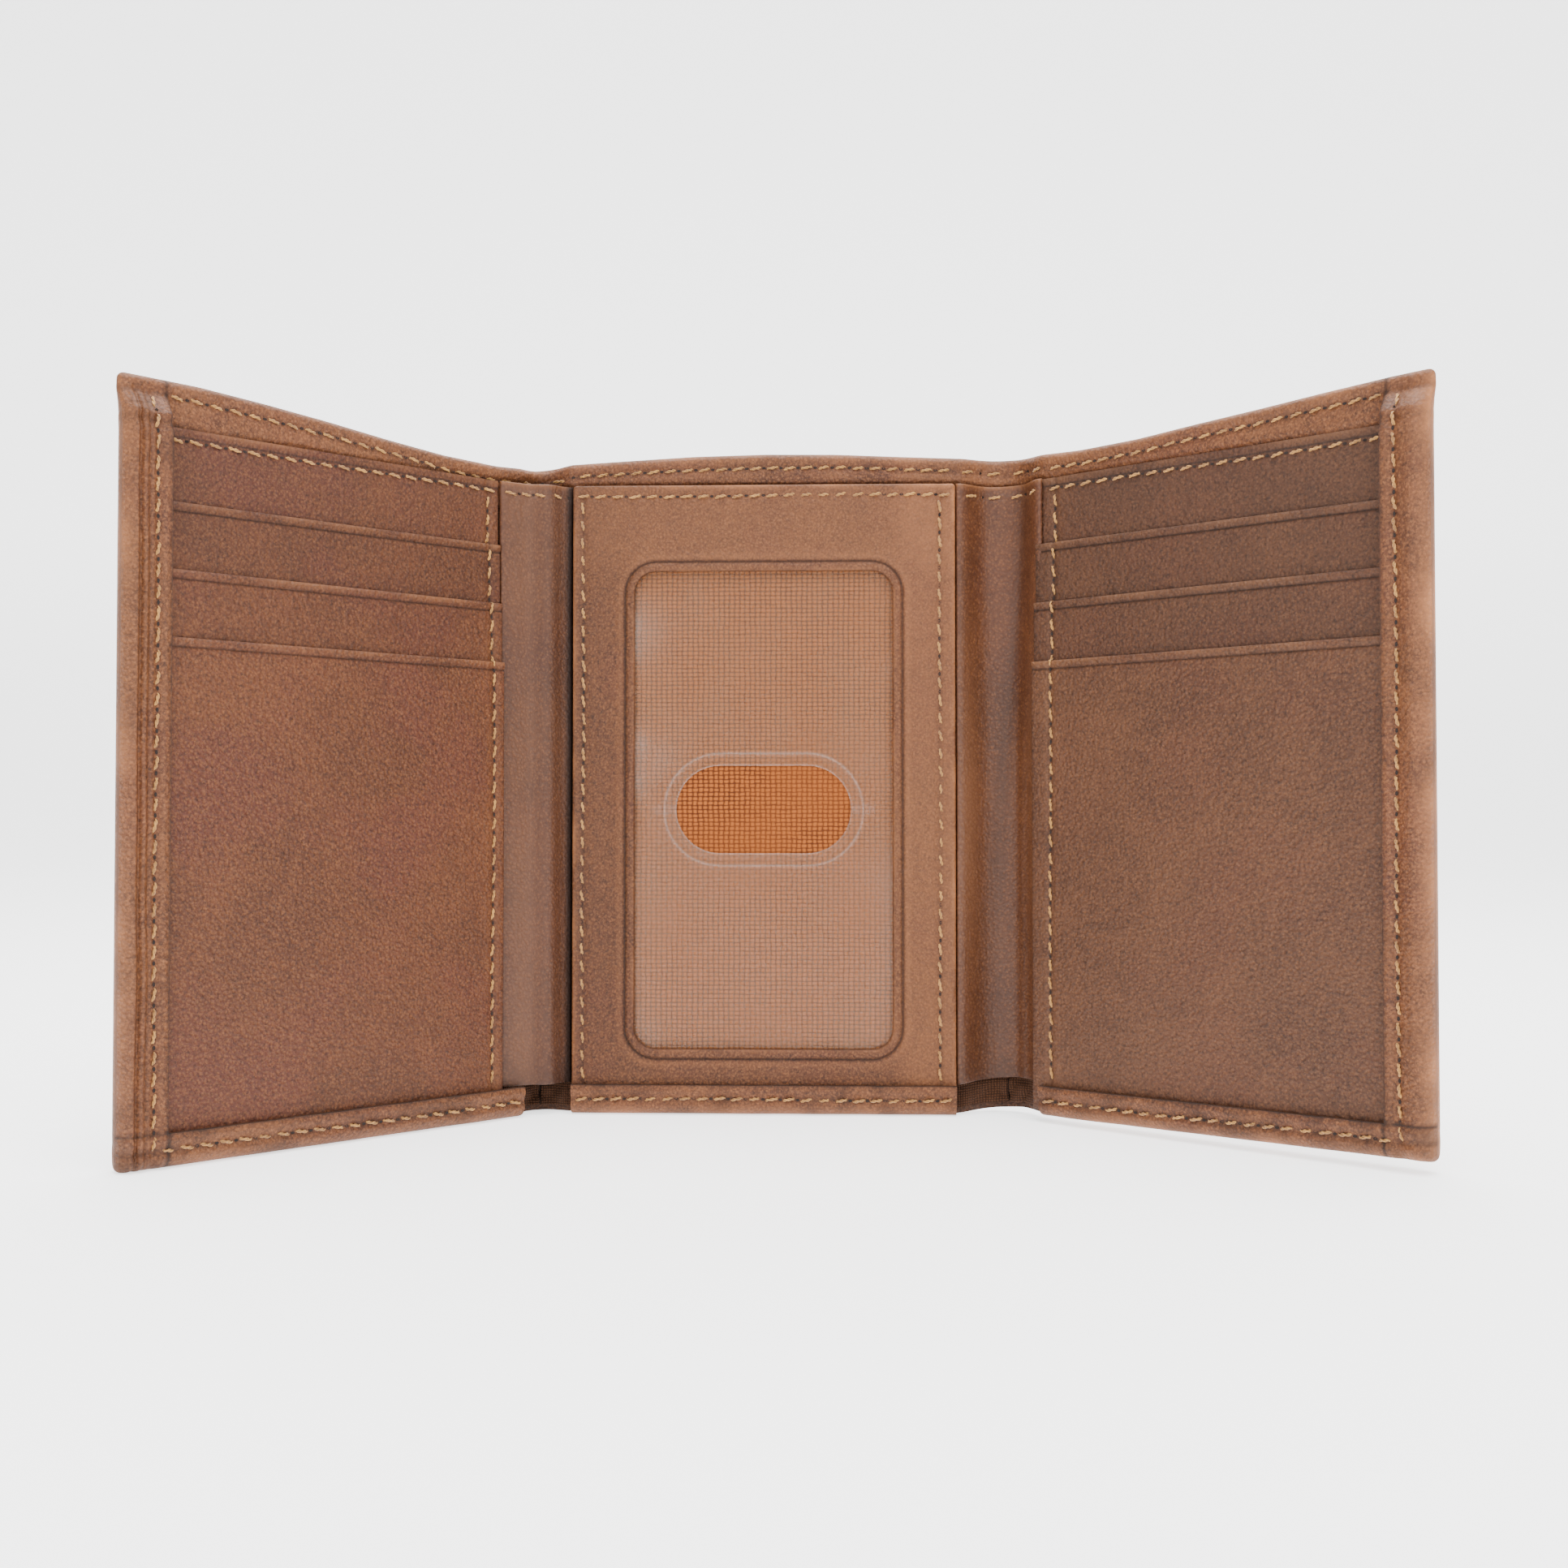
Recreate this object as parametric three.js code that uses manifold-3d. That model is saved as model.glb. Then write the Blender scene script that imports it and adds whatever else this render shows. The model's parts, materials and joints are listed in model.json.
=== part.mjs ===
// Trifold wallet, standing open: a centre panel with two wings folded forward.
// Millimetres, +Z up. The open side faces -Y and the leather shell's outer face looks back to +Y.
// Every panel is built in its own frame: x along the panel, z up, and depth d inwards from the
// shell's outer face. A wing's x starts at its fold line and grows to its outer edge.
import * as THREE from 'three';
import { mergeVertices } from 'three/addons/utils/BufferGeometryUtils.js';
import Module from 'manifold-3d';

const wasm = await Module();
wasm.setup();

// Overall sizes
const height = 108;
const leftWing = 65.5;
const rightWing = 62.5;
const foldHalf = 31.7; // centre line to either inner fold line
const leftRest = 45.5; // degrees that each wing stands forward of flat
const rightRest = 40;
const leftWingInset = 4; // fold line to the edge of the left card stack
const rightWingInset = 0.3;

// Leather and cloth thicknesses
const shellSkin = 0.8;
const hemSkin = 0.8;
const topHemSkin = 0.6;
const liningSkin = 0.2;
const panelSkin = 0.5;
const pocketSkin = 0.45;
const tailSkin = 0.3;
const backingSkin = 0.4;
const filmSkin = 0.25;
const gussetSkin = 0.5;
const layerGap = 0.2;
const billGap = 0.3; // the bill compartment when it is empty
const edgeGap = 0.2;
const foldGap = 0.5; // fold line to the cut edge of the shell
const wingGap = 0.35; // between two panels that lie on each other when the wallet is shut
const threadWidth = 0.5;
const threadThick = 0.35;
const threadProud = 0.1; // how far a sunk seam stands above its hem

// Hems, rows and pockets
const topHem = 4.6;
const bottomHem = 5;
const outerHem = 6.5;
const cornerRadius = 1.8;
const shellSeamDrop = 2.3;
const bottomSeamRise = 2.6;
const outerSeamInset = 4.4;
const grooveWidth = 1;
const grooveDepth = 0.45;
const innerDrop = 5.5; // shell top to the top of the inner panel
const innerSeamDrop = 1.8;
const lipDrops = [10.5, 9.5, 9.5]; // inner panel top down to the first lip, then lip to lip
const pocketOverlap = 6; // leather that a pocket keeps below the next lip
const stackSeamInset = 2;

// Identity pocket
const idEdgeGap = 0.5; // fold line to the edge of the frame
const windowWidth = 42;
const windowBottom = 10.6;
const windowDrop = 14.2; // inner panel top down to the window
const windowRadius = 3.5;
const frameSkin = 0.7;
const filmInset = 0.8;
const filmBottom = 2.2;
const filmDrop = 5.5; // inner panel top down to the film and its backing
const thumbLength = 28.5;
const thumbHeight = 14.3;
const leftIdSeam = 1.7;
const rightIdSeam = 2.5;

// Spines: the shell between a pair of fold lines, bulging outwards
const leftBulge = 3.6;
const rightBulge = 4.8;
const liningMargin = 1.2;
const gussetMargin = 2;
const spineSteps = 14;

// Depth of every layer from the shell's outer face
const hinge = shellSkin / 2;
const lining = shellSkin + layerGap;
const topHemFrom = lining + liningSkin + layerGap;
const topHemTo = topHemFrom + topHemSkin;
const panel = lining + liningSkin + billGap;
const firstLayer = panel + panelSkin + layerGap;
const pocketPitch = pocketSkin + layerGap;
const film = firstLayer + backingSkin + layerGap;
const frame = film + filmSkin + layerGap;
const pocketStack = firstLayer + 3 * pocketPitch;
const hem = Math.max(pocketStack, frame + frameSkin + layerGap);
const front = hem + hemSkin;
const innerTop = height - innerDrop;
const windowTop = innerTop - windowDrop;
const filmTop = innerTop - filmDrop;
const thumbRise = (windowBottom + windowTop) / 2;
const stackHeight = front + threadProud - hinge;
const leftSpine = 2 * stackHeight + 2 * wingGap;
const rightSpine = leftSpine + hinge + wingGap + stackHeight;

const finishes = {
  shellLeather: { color: 0x7d5440, roughness: 0.62, metalness: 0 },
  innerLeather: { color: 0x8f6149, roughness: 0.6, metalness: 0 },
  gussetLeather: { color: 0x80593f, roughness: 0.55, metalness: 0 },
  liningCloth: { color: 0x33241c, roughness: 0.9, metalness: 0 },
  canvas: { color: 0xc47a38, roughness: 0.95, metalness: 0 },
  clearFilm: { color: 0xd9cbbb, roughness: 0.12, metalness: 0, transparent: true, opacity: 0.35 },
  thread: { color: 0xd9b36a, roughness: 0.7, metalness: 0 },
};

function named(name, finish, geometry) {
  const mesh = new THREE.Mesh(geometry, new THREE.MeshStandardMaterial(finishes[finish]));
  mesh.name = name;
  return mesh;
}

// Joining and cutting closed meshes

function solid(geometry) {
  const bare = geometry.clone();
  bare.deleteAttribute('normal');
  bare.deleteAttribute('uv');
  const merged = mergeVertices(bare, 1e-4);
  return new wasm.Manifold(new wasm.Mesh({
    numProp: 3,
    vertProperties: new Float32Array(merged.attributes.position.array),
    triVerts: new Uint32Array(merged.index.array),
  }));
}

function geometryOf(manifold) {
  const mesh = manifold.getMesh();
  const geometry = new THREE.BufferGeometry();
  geometry.setAttribute('position', new THREE.BufferAttribute(mesh.vertProperties, 3));
  geometry.setIndex(new THREE.BufferAttribute(mesh.triVerts, 1));
  geometry.computeVertexNormals();
  return geometry;
}

// Basic forms in a panel's frame

function box(x0, x1, z0, z1, d0, d1) {
  const geometry = new THREE.BoxGeometry(Math.abs(x1 - x0), d1 - d0, z1 - z0);
  geometry.translate((x0 + x1) / 2, hinge - (d0 + d1) / 2, (z0 + z1) / 2);
  return geometry;
}

// A front outline in x and z, given thickness from depth d0 to d1
function slab(shape, d0, d1, curveSegments = 6) {
  const geometry = new THREE.ExtrudeGeometry(shape, { depth: d1 - d0, bevelEnabled: false, curveSegments });
  geometry.applyMatrix4(new THREE.Matrix4().makeBasis(
    new THREE.Vector3(1, 0, 0),
    new THREE.Vector3(0, 0, 1),
    new THREE.Vector3(0, -1, 0),
  ));
  geometry.translate(0, hinge - d0, 0);
  return geometry;
}

// A section in depth and z, run along x
function run(section, x0, x1) {
  const shape = new THREE.Shape(section.map(([d, z]) => new THREE.Vector2(hinge - d, z)));
  const geometry = new THREE.ExtrudeGeometry(shape, { depth: Math.abs(x1 - x0), bevelEnabled: false });
  geometry.applyMatrix4(new THREE.Matrix4().makeBasis(
    new THREE.Vector3(0, 1, 0),
    new THREE.Vector3(0, 0, 1),
    new THREE.Vector3(1, 0, 0),
  ));
  geometry.translate(Math.min(x0, x1), 0, 0);
  return geometry;
}

// A plan outline in x and depth, raised from z0 to z1
function upright(plan, z0, z1) {
  const shape = new THREE.Shape(plan.map(([x, d]) => new THREE.Vector2(x, hinge - d)));
  const geometry = new THREE.ExtrudeGeometry(shape, { depth: z1 - z0, bevelEnabled: false });
  geometry.translate(0, 0, z0);
  return geometry;
}

function roundedOutline(path, x0, x1, z0, z1, radius) {
  path.moveTo(x0 + radius, z0);
  path.lineTo(x1 - radius, z0);
  path.absarc(x1 - radius, z0 + radius, radius, -Math.PI / 2, 0, false);
  path.lineTo(x1, z1 - radius);
  path.absarc(x1 - radius, z1 - radius, radius, 0, Math.PI / 2, false);
  path.lineTo(x0 + radius, z1);
  path.absarc(x0 + radius, z1 - radius, radius, Math.PI / 2, Math.PI, false);
  path.lineTo(x0, z0 + radius);
  path.absarc(x0 + radius, z0 + radius, radius, Math.PI, 1.5 * Math.PI, false);
  return path;
}

// A seam laid along x or along z, with its back face at depth d
function rowAlong(x0, x1, z, d) {
  return box(x0, x1, z - threadWidth / 2, z + threadWidth / 2, d, d + threadThick);
}

function rowUp(x, z0, z1, d) {
  return box(x - threadWidth / 2, x + threadWidth / 2, z0, z1, d, d + threadThick);
}

const sunkRow = front + threadProud - threadThick;

// Shell of a flat panel: plain back, top hem turned down inside, bottom hem turned up in front
function hemmedSection() {
  const ease = 0.35;
  const grooveFrom = bottomSeamRise - grooveWidth / 2;
  const grooveTo = bottomSeamRise + grooveWidth / 2;
  return [
    [0, ease],
    [ease, 0],
    [front - ease, 0],
    [front, ease],
    [front, grooveFrom],
    [front - grooveDepth, grooveFrom],
    [front - grooveDepth, grooveTo],
    [front, grooveTo],
    [front, bottomHem],
    [hem, bottomHem],
    [hem, hemSkin],
    [shellSkin, hemSkin],
    [shellSkin, height - hemSkin],
    [topHemFrom, height - hemSkin],
    [topHemFrom, height - topHem],
    [topHemTo, height - topHem],
    [topHemTo, height - ease],
    [topHemTo - ease, height],
    [ease, height],
    [0, height - ease],
  ];
}

function wingShell(side, width) {
  const at = (x) => side * x;
  const back = solid(run(hemmedSection(), at(foldGap), at(width)));
  const ease = 0.4;
  const outer = solid(upright([
    [at(width - 1), 0],
    [at(width - ease), 0],
    [at(width), ease],
    [at(width), front - ease],
    [at(width - ease), front],
    [at(width - outerHem), front],
    [at(width - outerHem), hem],
    [at(width - hemSkin), hem],
    [at(width - hemSkin), shellSkin],
    [at(width - 1), shellSkin],
  ], 0, height));
  const halfGroove = grooveWidth / 2;
  const grooveX = width - outerSeamInset;
  const low = bottomSeamRise - halfGroove;
  const cut = (x0, x1, z1) => solid(box(at(x0), at(x1), low, z1, front - grooveDepth, front + 1));
  const outerGroove = cut(grooveX - halfGroove, grooveX + halfGroove, height - shellSeamDrop + halfGroove);
  const bottomGroove = cut(width - outerHem - 1, grooveX, bottomSeamRise + halfGroove);
  const outline = roundedOutline(
    new THREE.Shape(),
    Math.min(at(-cornerRadius), at(width)),
    Math.max(at(-cornerRadius), at(width)),
    -cornerRadius,
    height,
    cornerRadius,
  );
  const trim = solid(slab(outline, -1, front + 1));
  return geometryOf(back.add(outer).subtract(outerGroove).subtract(bottomGroove).intersect(trim));
}

function liningSheet(x0, x1) {
  return box(x0, x1, hemSkin + edgeGap, height - hemSkin - edgeGap, lining, lining + liningSkin);
}

// Height of lip number i, counted down from the top
function lip(i) {
  return innerTop - lipDrops.slice(0, i + 1).reduce((sum, drop) => sum + drop, 0);
}

// The seam beside the card stack steps forward at each lip
function steppedSeam(x) {
  const end = bottomHem + edgeGap + threadThick;
  const faces = [panel + panelSkin];
  for (let i = 0; i < 3; i += 1) {
    faces.push(firstLayer + i * pocketPitch + pocketSkin);
  }
  const rear = [];
  const fore = [];
  let top = innerTop - innerSeamDrop - threadWidth / 2 - edgeGap;
  faces.forEach((face, i) => {
    const d = face + layerGap;
    const bottom = i < 3 ? lip(i) + edgeGap : end;
    rear.push([d, top], [d, bottom]);
    fore.push([d + threadThick, top], [d + threadThick, bottom + (i < 3 ? threadThick : 0)]);
    top = bottom;
  });
  for (let i = 2; i < fore.length; i += 2) {
    fore[i][1] = fore[i - 1][1];
  }
  const section = [...rear, ...fore.reverse()];
  return run(section, x - threadWidth / 2, x + threadWidth / 2);
}

function wing(name, side, width, inset) {
  const group = new THREE.Group();
  const at = (x) => side * x;
  const add = (label, finish, geometry) => group.add(named(label, finish, geometry));
  const bottom = hemSkin + edgeGap;
  const outerIn = width - hemSkin - edgeGap;
  add(`shell_${name}_wing`, 'shellLeather', wingShell(side, width));
  add(`lining_${name}_wing`, 'liningCloth', liningSheet(at(inset + edgeGap), at(outerIn)));
  add(`inner_panel_${name}`, 'innerLeather',
    box(at(inset), at(outerIn), bottom, innerTop, panel, panel + panelSkin));
  ['upper', 'middle', 'lower'].forEach((row, i) => {
    const d = firstLayer + i * pocketPitch;
    const last = i === 2;
    const leatherEnd = last ? bottom : lip(i + 1) - pocketOverlap;
    add(`card_pocket_${name}_${row}`, 'innerLeather',
      box(at(inset), at(outerIn), leatherEnd, lip(i), d, d + pocketSkin));
    if (!last) {
      add(`pocket_tail_${name}_${row}`, 'liningCloth',
        box(at(inset + edgeGap), at(outerIn), bottom, leatherEnd - edgeGap, d, d + tailSkin));
    }
  });
  const rowEnd = width - outerHem - edgeGap;
  const outerSeam = width - outerSeamInset;
  const halfThread = threadWidth / 2;
  add(`seam_${name}_inner_top`, 'thread',
    rowAlong(at(inset + edgeGap), at(rowEnd), innerTop - innerSeamDrop, panel + panelSkin + layerGap));
  add(`seam_${name}_stack`, 'thread', steppedSeam(at(inset + stackSeamInset)));
  add(`seam_${name}_outer`, 'thread',
    rowUp(at(outerSeam), bottomSeamRise - halfThread, height - shellSeamDrop, sunkRow));
  add(`seam_${name}_bottom`, 'thread',
    rowAlong(at(foldGap + edgeGap), at(outerSeam - threadWidth), bottomSeamRise, sunkRow));
  add(`seam_${name}_shell_top`, 'thread',
    rowAlong(at(foldGap + edgeGap), at(rowEnd), height - shellSeamDrop, topHemTo + layerGap));
  return group;
}

// Thumb hole with round ends
function thumbHole() {
  const radius = thumbHeight / 2;
  const reach = thumbLength / 2 - radius;
  const hole = new THREE.Path();
  hole.moveTo(-reach, thumbRise - radius);
  hole.lineTo(reach, thumbRise - radius);
  hole.absarc(reach, thumbRise, radius, -Math.PI / 2, Math.PI / 2, false);
  hole.lineTo(-reach, thumbRise + radius);
  hole.absarc(-reach, thumbRise, radius, Math.PI / 2, 1.5 * Math.PI, false);
  return hole;
}

function centrePanel() {
  const group = new THREE.Group();
  const add = (label, finish, geometry) => group.add(named(label, finish, geometry));
  const shellHalf = foldHalf - foldGap;
  const half = foldHalf - idEdgeGap;
  const bottom = hemSkin + edgeGap;
  add('shell_centre', 'shellLeather', run(hemmedSection(), -shellHalf, shellHalf));
  add('lining_centre', 'liningCloth', liningSheet(-half + edgeGap, half - edgeGap));
  add('inner_panel_centre', 'innerLeather', box(-half, half, bottom, innerTop, panel, panel + panelSkin));
  const cloth = half - filmInset;
  add('id_backing_canvas', 'canvas', box(-cloth, cloth, bottom, filmTop, firstLayer, firstLayer + backingSkin));
  const sheet = roundedOutline(new THREE.Shape(), -cloth, cloth, filmBottom, filmTop, 1);
  sheet.holes.push(thumbHole());
  add('id_window_film', 'clearFilm', slab(sheet, film, film + filmSkin, 8));
  const border = roundedOutline(new THREE.Shape(), -half, half, bottom, innerTop, 0.6);
  const opening = [-windowWidth / 2, windowWidth / 2, windowBottom, windowTop, windowRadius];
  border.holes.push(roundedOutline(new THREE.Path(), ...opening));
  add('id_frame', 'innerLeather', slab(border, frame, frame + frameSkin));
  const faceRow = frame + frameSkin + layerGap;
  const rowTop = innerTop - innerSeamDrop;
  const idRow = (x) => rowUp(x, bottomHem + edgeGap, rowTop - threadWidth / 2 - edgeGap, faceRow);
  add('seam_id_left', 'thread', idRow(-half + leftIdSeam));
  add('seam_id_right', 'thread', idRow(half - rightIdSeam));
  add('seam_centre_inner_top', 'thread', rowAlong(-half + edgeGap, half - edgeGap, rowTop, faceRow));
  const rowHalf = shellHalf - edgeGap;
  add('seam_centre_bottom', 'thread', rowAlong(-rowHalf, rowHalf, bottomSeamRise, sunkRow));
  add('seam_centre_shell_top', 'thread',
    rowAlong(-rowHalf, rowHalf, height - shellSeamDrop, topHemTo + layerGap));
  return group;
}

// A strip bent round the spine's arc. Depths are inwards from the shell's mid-plane.
function spineStrip(side, chord, bulge, d0, d1, margin, z0, z1) {
  const radius = (chord * chord / 4 + bulge * bulge) / (2 * bulge);
  const half = Math.asin(Math.min(1, chord / 2 / radius)) - margin / radius;
  const points = [];
  for (const [r, from, to] of [[radius - d0, -half, half], [radius - d1, half, -half]]) {
    for (let i = 0; i <= spineSteps; i += 1) {
      const angle = from + (to - from) * i / spineSteps;
      const x = chord / 2 + r * Math.sin(angle);
      const y = bulge - radius + r * Math.cos(angle);
      points.push([side * x, hinge - y]);
    }
  }
  return upright(points, z0, z1);
}

function spine(name, side, chord, bulge) {
  const group = new THREE.Group();
  const add = (label, finish, geometry) => group.add(named(label, finish, geometry));
  const strip = (...rest) => spineStrip(side, chord, bulge, ...rest);
  const liningFrom = hinge + layerGap;
  const gussetFrom = liningFrom + liningSkin + billGap;
  const gussetTo = gussetFrom + gussetSkin;
  const seamFrom = gussetTo + layerGap;
  const seamMid = innerTop - innerSeamDrop;
  const halfThread = threadWidth / 2;
  add(`shell_${name}_spine`, 'shellLeather', strip(-hinge, hinge, foldGap, 0, height));
  add(`lining_${name}_spine`, 'liningCloth',
    strip(liningFrom, liningFrom + liningSkin, liningMargin, hemSkin + edgeGap, height - topHem));
  add(`gusset_${name}`, 'gussetLeather', strip(gussetFrom, gussetTo, gussetMargin, bottomHem, innerTop));
  add(`seam_${name}_gusset_top`, 'thread', strip(
    seamFrom, seamFrom + threadThick, gussetMargin + edgeGap, seamMid - halfThread, seamMid + halfThread));
  const shellRow = height - shellSeamDrop;
  add(`seam_${name}_spine_top`, 'thread', strip(
    liningFrom, liningFrom + threadThick, liningMargin, shellRow - halfThread, shellRow + halfThread));
  return group;
}

// Each side is a chain: the spine turns about the centre's fold line by half the rest angle, and the
// wing turns about the spine's outer fold line by the other half.
function sideOf(name, side, chord, bulge, width, inset, rest) {
  const halfTurn = -side * THREE.MathUtils.degToRad(rest / 2);
  const spineGroup = spine(name, side, chord, bulge);
  spineGroup.position.x = side * foldHalf;
  spineGroup.rotation.z = halfTurn;
  const wingGroup = wing(name, side, width, inset);
  wingGroup.position.x = side * chord;
  wingGroup.rotation.z = halfTurn;
  spineGroup.add(wingGroup);
  return spineGroup;
}

const wallet = new THREE.Group();
wallet.add(centrePanel());
wallet.add(sideOf('left', -1, leftSpine, leftBulge, leftWing, leftWingInset, leftRest));
wallet.add(sideOf('right', 1, rightSpine, rightBulge, rightWing, rightWingInset, rightRest));

// The origin is the middle of the standing wallet's footprint
wallet.updateMatrixWorld(true);
const footprint = new THREE.Box3().setFromObject(wallet, true);
const middle = footprint.getCenter(new THREE.Vector3());
wallet.position.set(-middle.x, -middle.y, -footprint.min.z);
wallet.updateMatrixWorld(true);

export default wallet;
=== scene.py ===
import json
import math
import random
import bpy
import numpy as np
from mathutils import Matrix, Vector, noise


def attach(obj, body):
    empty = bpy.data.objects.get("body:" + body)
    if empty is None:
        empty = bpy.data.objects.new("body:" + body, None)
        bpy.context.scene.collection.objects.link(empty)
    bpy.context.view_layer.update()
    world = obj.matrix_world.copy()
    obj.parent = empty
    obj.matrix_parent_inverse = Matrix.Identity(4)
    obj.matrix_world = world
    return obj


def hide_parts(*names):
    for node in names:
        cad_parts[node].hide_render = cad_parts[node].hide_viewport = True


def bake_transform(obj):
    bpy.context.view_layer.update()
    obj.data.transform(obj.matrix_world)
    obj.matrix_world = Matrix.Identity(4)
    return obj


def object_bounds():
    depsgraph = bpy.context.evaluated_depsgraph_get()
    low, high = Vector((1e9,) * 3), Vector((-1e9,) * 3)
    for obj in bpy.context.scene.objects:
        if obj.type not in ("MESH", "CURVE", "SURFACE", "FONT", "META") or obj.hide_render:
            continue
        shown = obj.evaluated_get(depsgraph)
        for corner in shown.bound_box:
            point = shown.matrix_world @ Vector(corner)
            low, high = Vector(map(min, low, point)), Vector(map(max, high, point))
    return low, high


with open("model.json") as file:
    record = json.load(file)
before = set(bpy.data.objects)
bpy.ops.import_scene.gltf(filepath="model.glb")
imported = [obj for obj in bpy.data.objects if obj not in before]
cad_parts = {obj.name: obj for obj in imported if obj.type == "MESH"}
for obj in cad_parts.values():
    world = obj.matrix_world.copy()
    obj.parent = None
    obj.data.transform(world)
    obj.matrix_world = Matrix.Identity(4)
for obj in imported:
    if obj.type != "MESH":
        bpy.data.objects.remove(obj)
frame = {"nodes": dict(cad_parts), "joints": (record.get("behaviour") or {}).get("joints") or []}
cadLow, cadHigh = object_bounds()
mm = 0.001
print("frame loaded")

joints = {j["name"]: j for j in frame["joints"]}
skin = 0.8  # shell leather
midPlane = skin / 2  # the fold lines run through the middle of the shell


def hingeAt(name):
    return np.array(joints[name]["pos_m"][:2], float) / mm


# how used leather has settled, by distance outward from the inner fold: the sag of the shell's top edge
# and the lift of the bottom edge
settled = dict(
    left=dict(sag=([-32, -20, -8, 0, 6, 14, 24, 34, 44, 54, 64, 76],
    [0, -0.3, -1.0, -1.5, -2.5, -3.0, -2.7, -1.8, -0.7, 0.2, 0.9, 1.1]), lift=([0, 80], [0, 0])),
    right=dict(sag=([-32, -20, -8, 0, 8, 15, 22, 32, 42, 52, 62, 72, 78],
    [0, -0.1, -0.6, -0.9, -1.0, -1.4, -1.7, -1.5, -0.8, -0.2, 0.5, 1.1, 1.3]),
    lift=([0, 4, 10, 20, 78], [0, 0.5, 1.0, 0.9, 1.7])))


class Side:
    def __init__(self, name):
        self.name = name
        self.sign = -1 if name == "left" else 1
        self.inner = hingeAt(name + "_spine_fold")
        self.outer = hingeAt(name + "_wing_fold")
        self.turn = math.radians(-joints[name + "_spine_fold"]["range_deg"][0])  # turn of each fold at rest
        self.chord = float(np.linalg.norm(self.outer - self.inner))

    def place(self, s, u, z, rigid=False):  # s from the inner fold outward, u forward from the shell's back, z up
        s, u, z = np.broadcast_arrays(*(np.asarray(v, float) for v in (s, u, z)))
        half = self.chord / 2
        wOuter = 1 if rigid else ease((s - half) / (half + 0.5))
        wInner = 1 if rigid else ease((s + 0.5) / (half + 0.5))
        x, y = spin(s - self.chord, u - midPlane, wOuter * self.turn)
        x, y = spin(x + self.chord, y, wInner * self.turn)
        z = z + np.interp(s, *settled[self.name]["lift"]) * ease((60 - z) / 60)
        return np.stack([self.inner[0] + self.sign * x, self.inner[1] - y, z], -1) * mm


def ease(t):
    t = np.clip(t, 0, 1)
    return t * t * (3 - 2 * t)


def spin(x, y, angle):
    return x * np.cos(angle) - y * np.sin(angle), x * np.sin(angle) + y * np.cos(angle)


left, right = Side("left"), Side("right")
middle = (left.inner[0] + right.inner[0]) / 2
spineStart = (right.inner[0] - left.inner[0]) / 2  # from the middle of the shell to each inner fold


def placeCentre(s, u, z):
    s, u, z = np.broadcast_arrays(*(np.asarray(v, float) for v in (s, u, z)))
    return np.stack([middle + s, left.inner[1] - (u - midPlane), z], -1) * mm


def placeWing(side):
    return lambda s, u, z: side.place(np.asarray(s, float) + side.chord, u, z, rigid=True)


def centreDrop(s):
    return np.where(s < 0, sideDrop(left)(-spineStart - s), sideDrop(right)(s - spineStart))


def sideDrop(side, offset=0.0):
    return lambda s: np.interp(s + offset, *settled[side.name]["sag"])


def sagged(place, side=None, offset=0.0):  # the same placing, with the top edge settled
    def settle(s, u, z):
        s, u, z = np.broadcast_arrays(*(np.asarray(v, float) for v in (s, u, z)))
        drop = centreDrop(s) if side is None else sideDrop(side, offset)(s)
        return place(s, u, z + drop * ease((z - 55) / 50))
    return settle


def span(node, side=None):  # a CAD node's extent on its panel, in millimetres: s, u, z
    at = np.array([v.co[:] for v in frame["nodes"][node].data.vertices]) / mm
    if side is None:
        s, u = at[:, 0] - middle, left.inner[1] - at[:, 1] + midPlane
    else:
        x, y = side.sign * (at[:, 0] - side.outer[0]), side.outer[1] - at[:, 1]
        s, u = spin(x, y, -2 * side.turn)
        u = u + midPlane
    z = at[:, 2]
    return dict(s0=s.min(), s1=s.max(), u0=u.min(), u1=u.max(), z0=z.min(), z1=z.max(), s=s, u=u, z=z)


height = cadHigh.z / mm
shellCentre = span("shell_centre")
innerTop = span("inner_panel_centre")["z1"]
wingLength = {s.name: span(f"shell_{s.name}_wing", s)["s1"] for s in (left, right)}
hem = dict(top=6.4, bottom=5.0, outer=6.5, seam=4.4, edge=1.9, corner=1.0, leaf=4.95, topLeaf=2.0)
seamRow = {n: (span(n)["z0"] + span(n)["z1"]) / 2
    for n in ("seam_centre_bottom", "seam_centre_inner_top", "seam_centre_shell_top")}
lowSeam, innerSeam, topSeam = seamRow.values()


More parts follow.
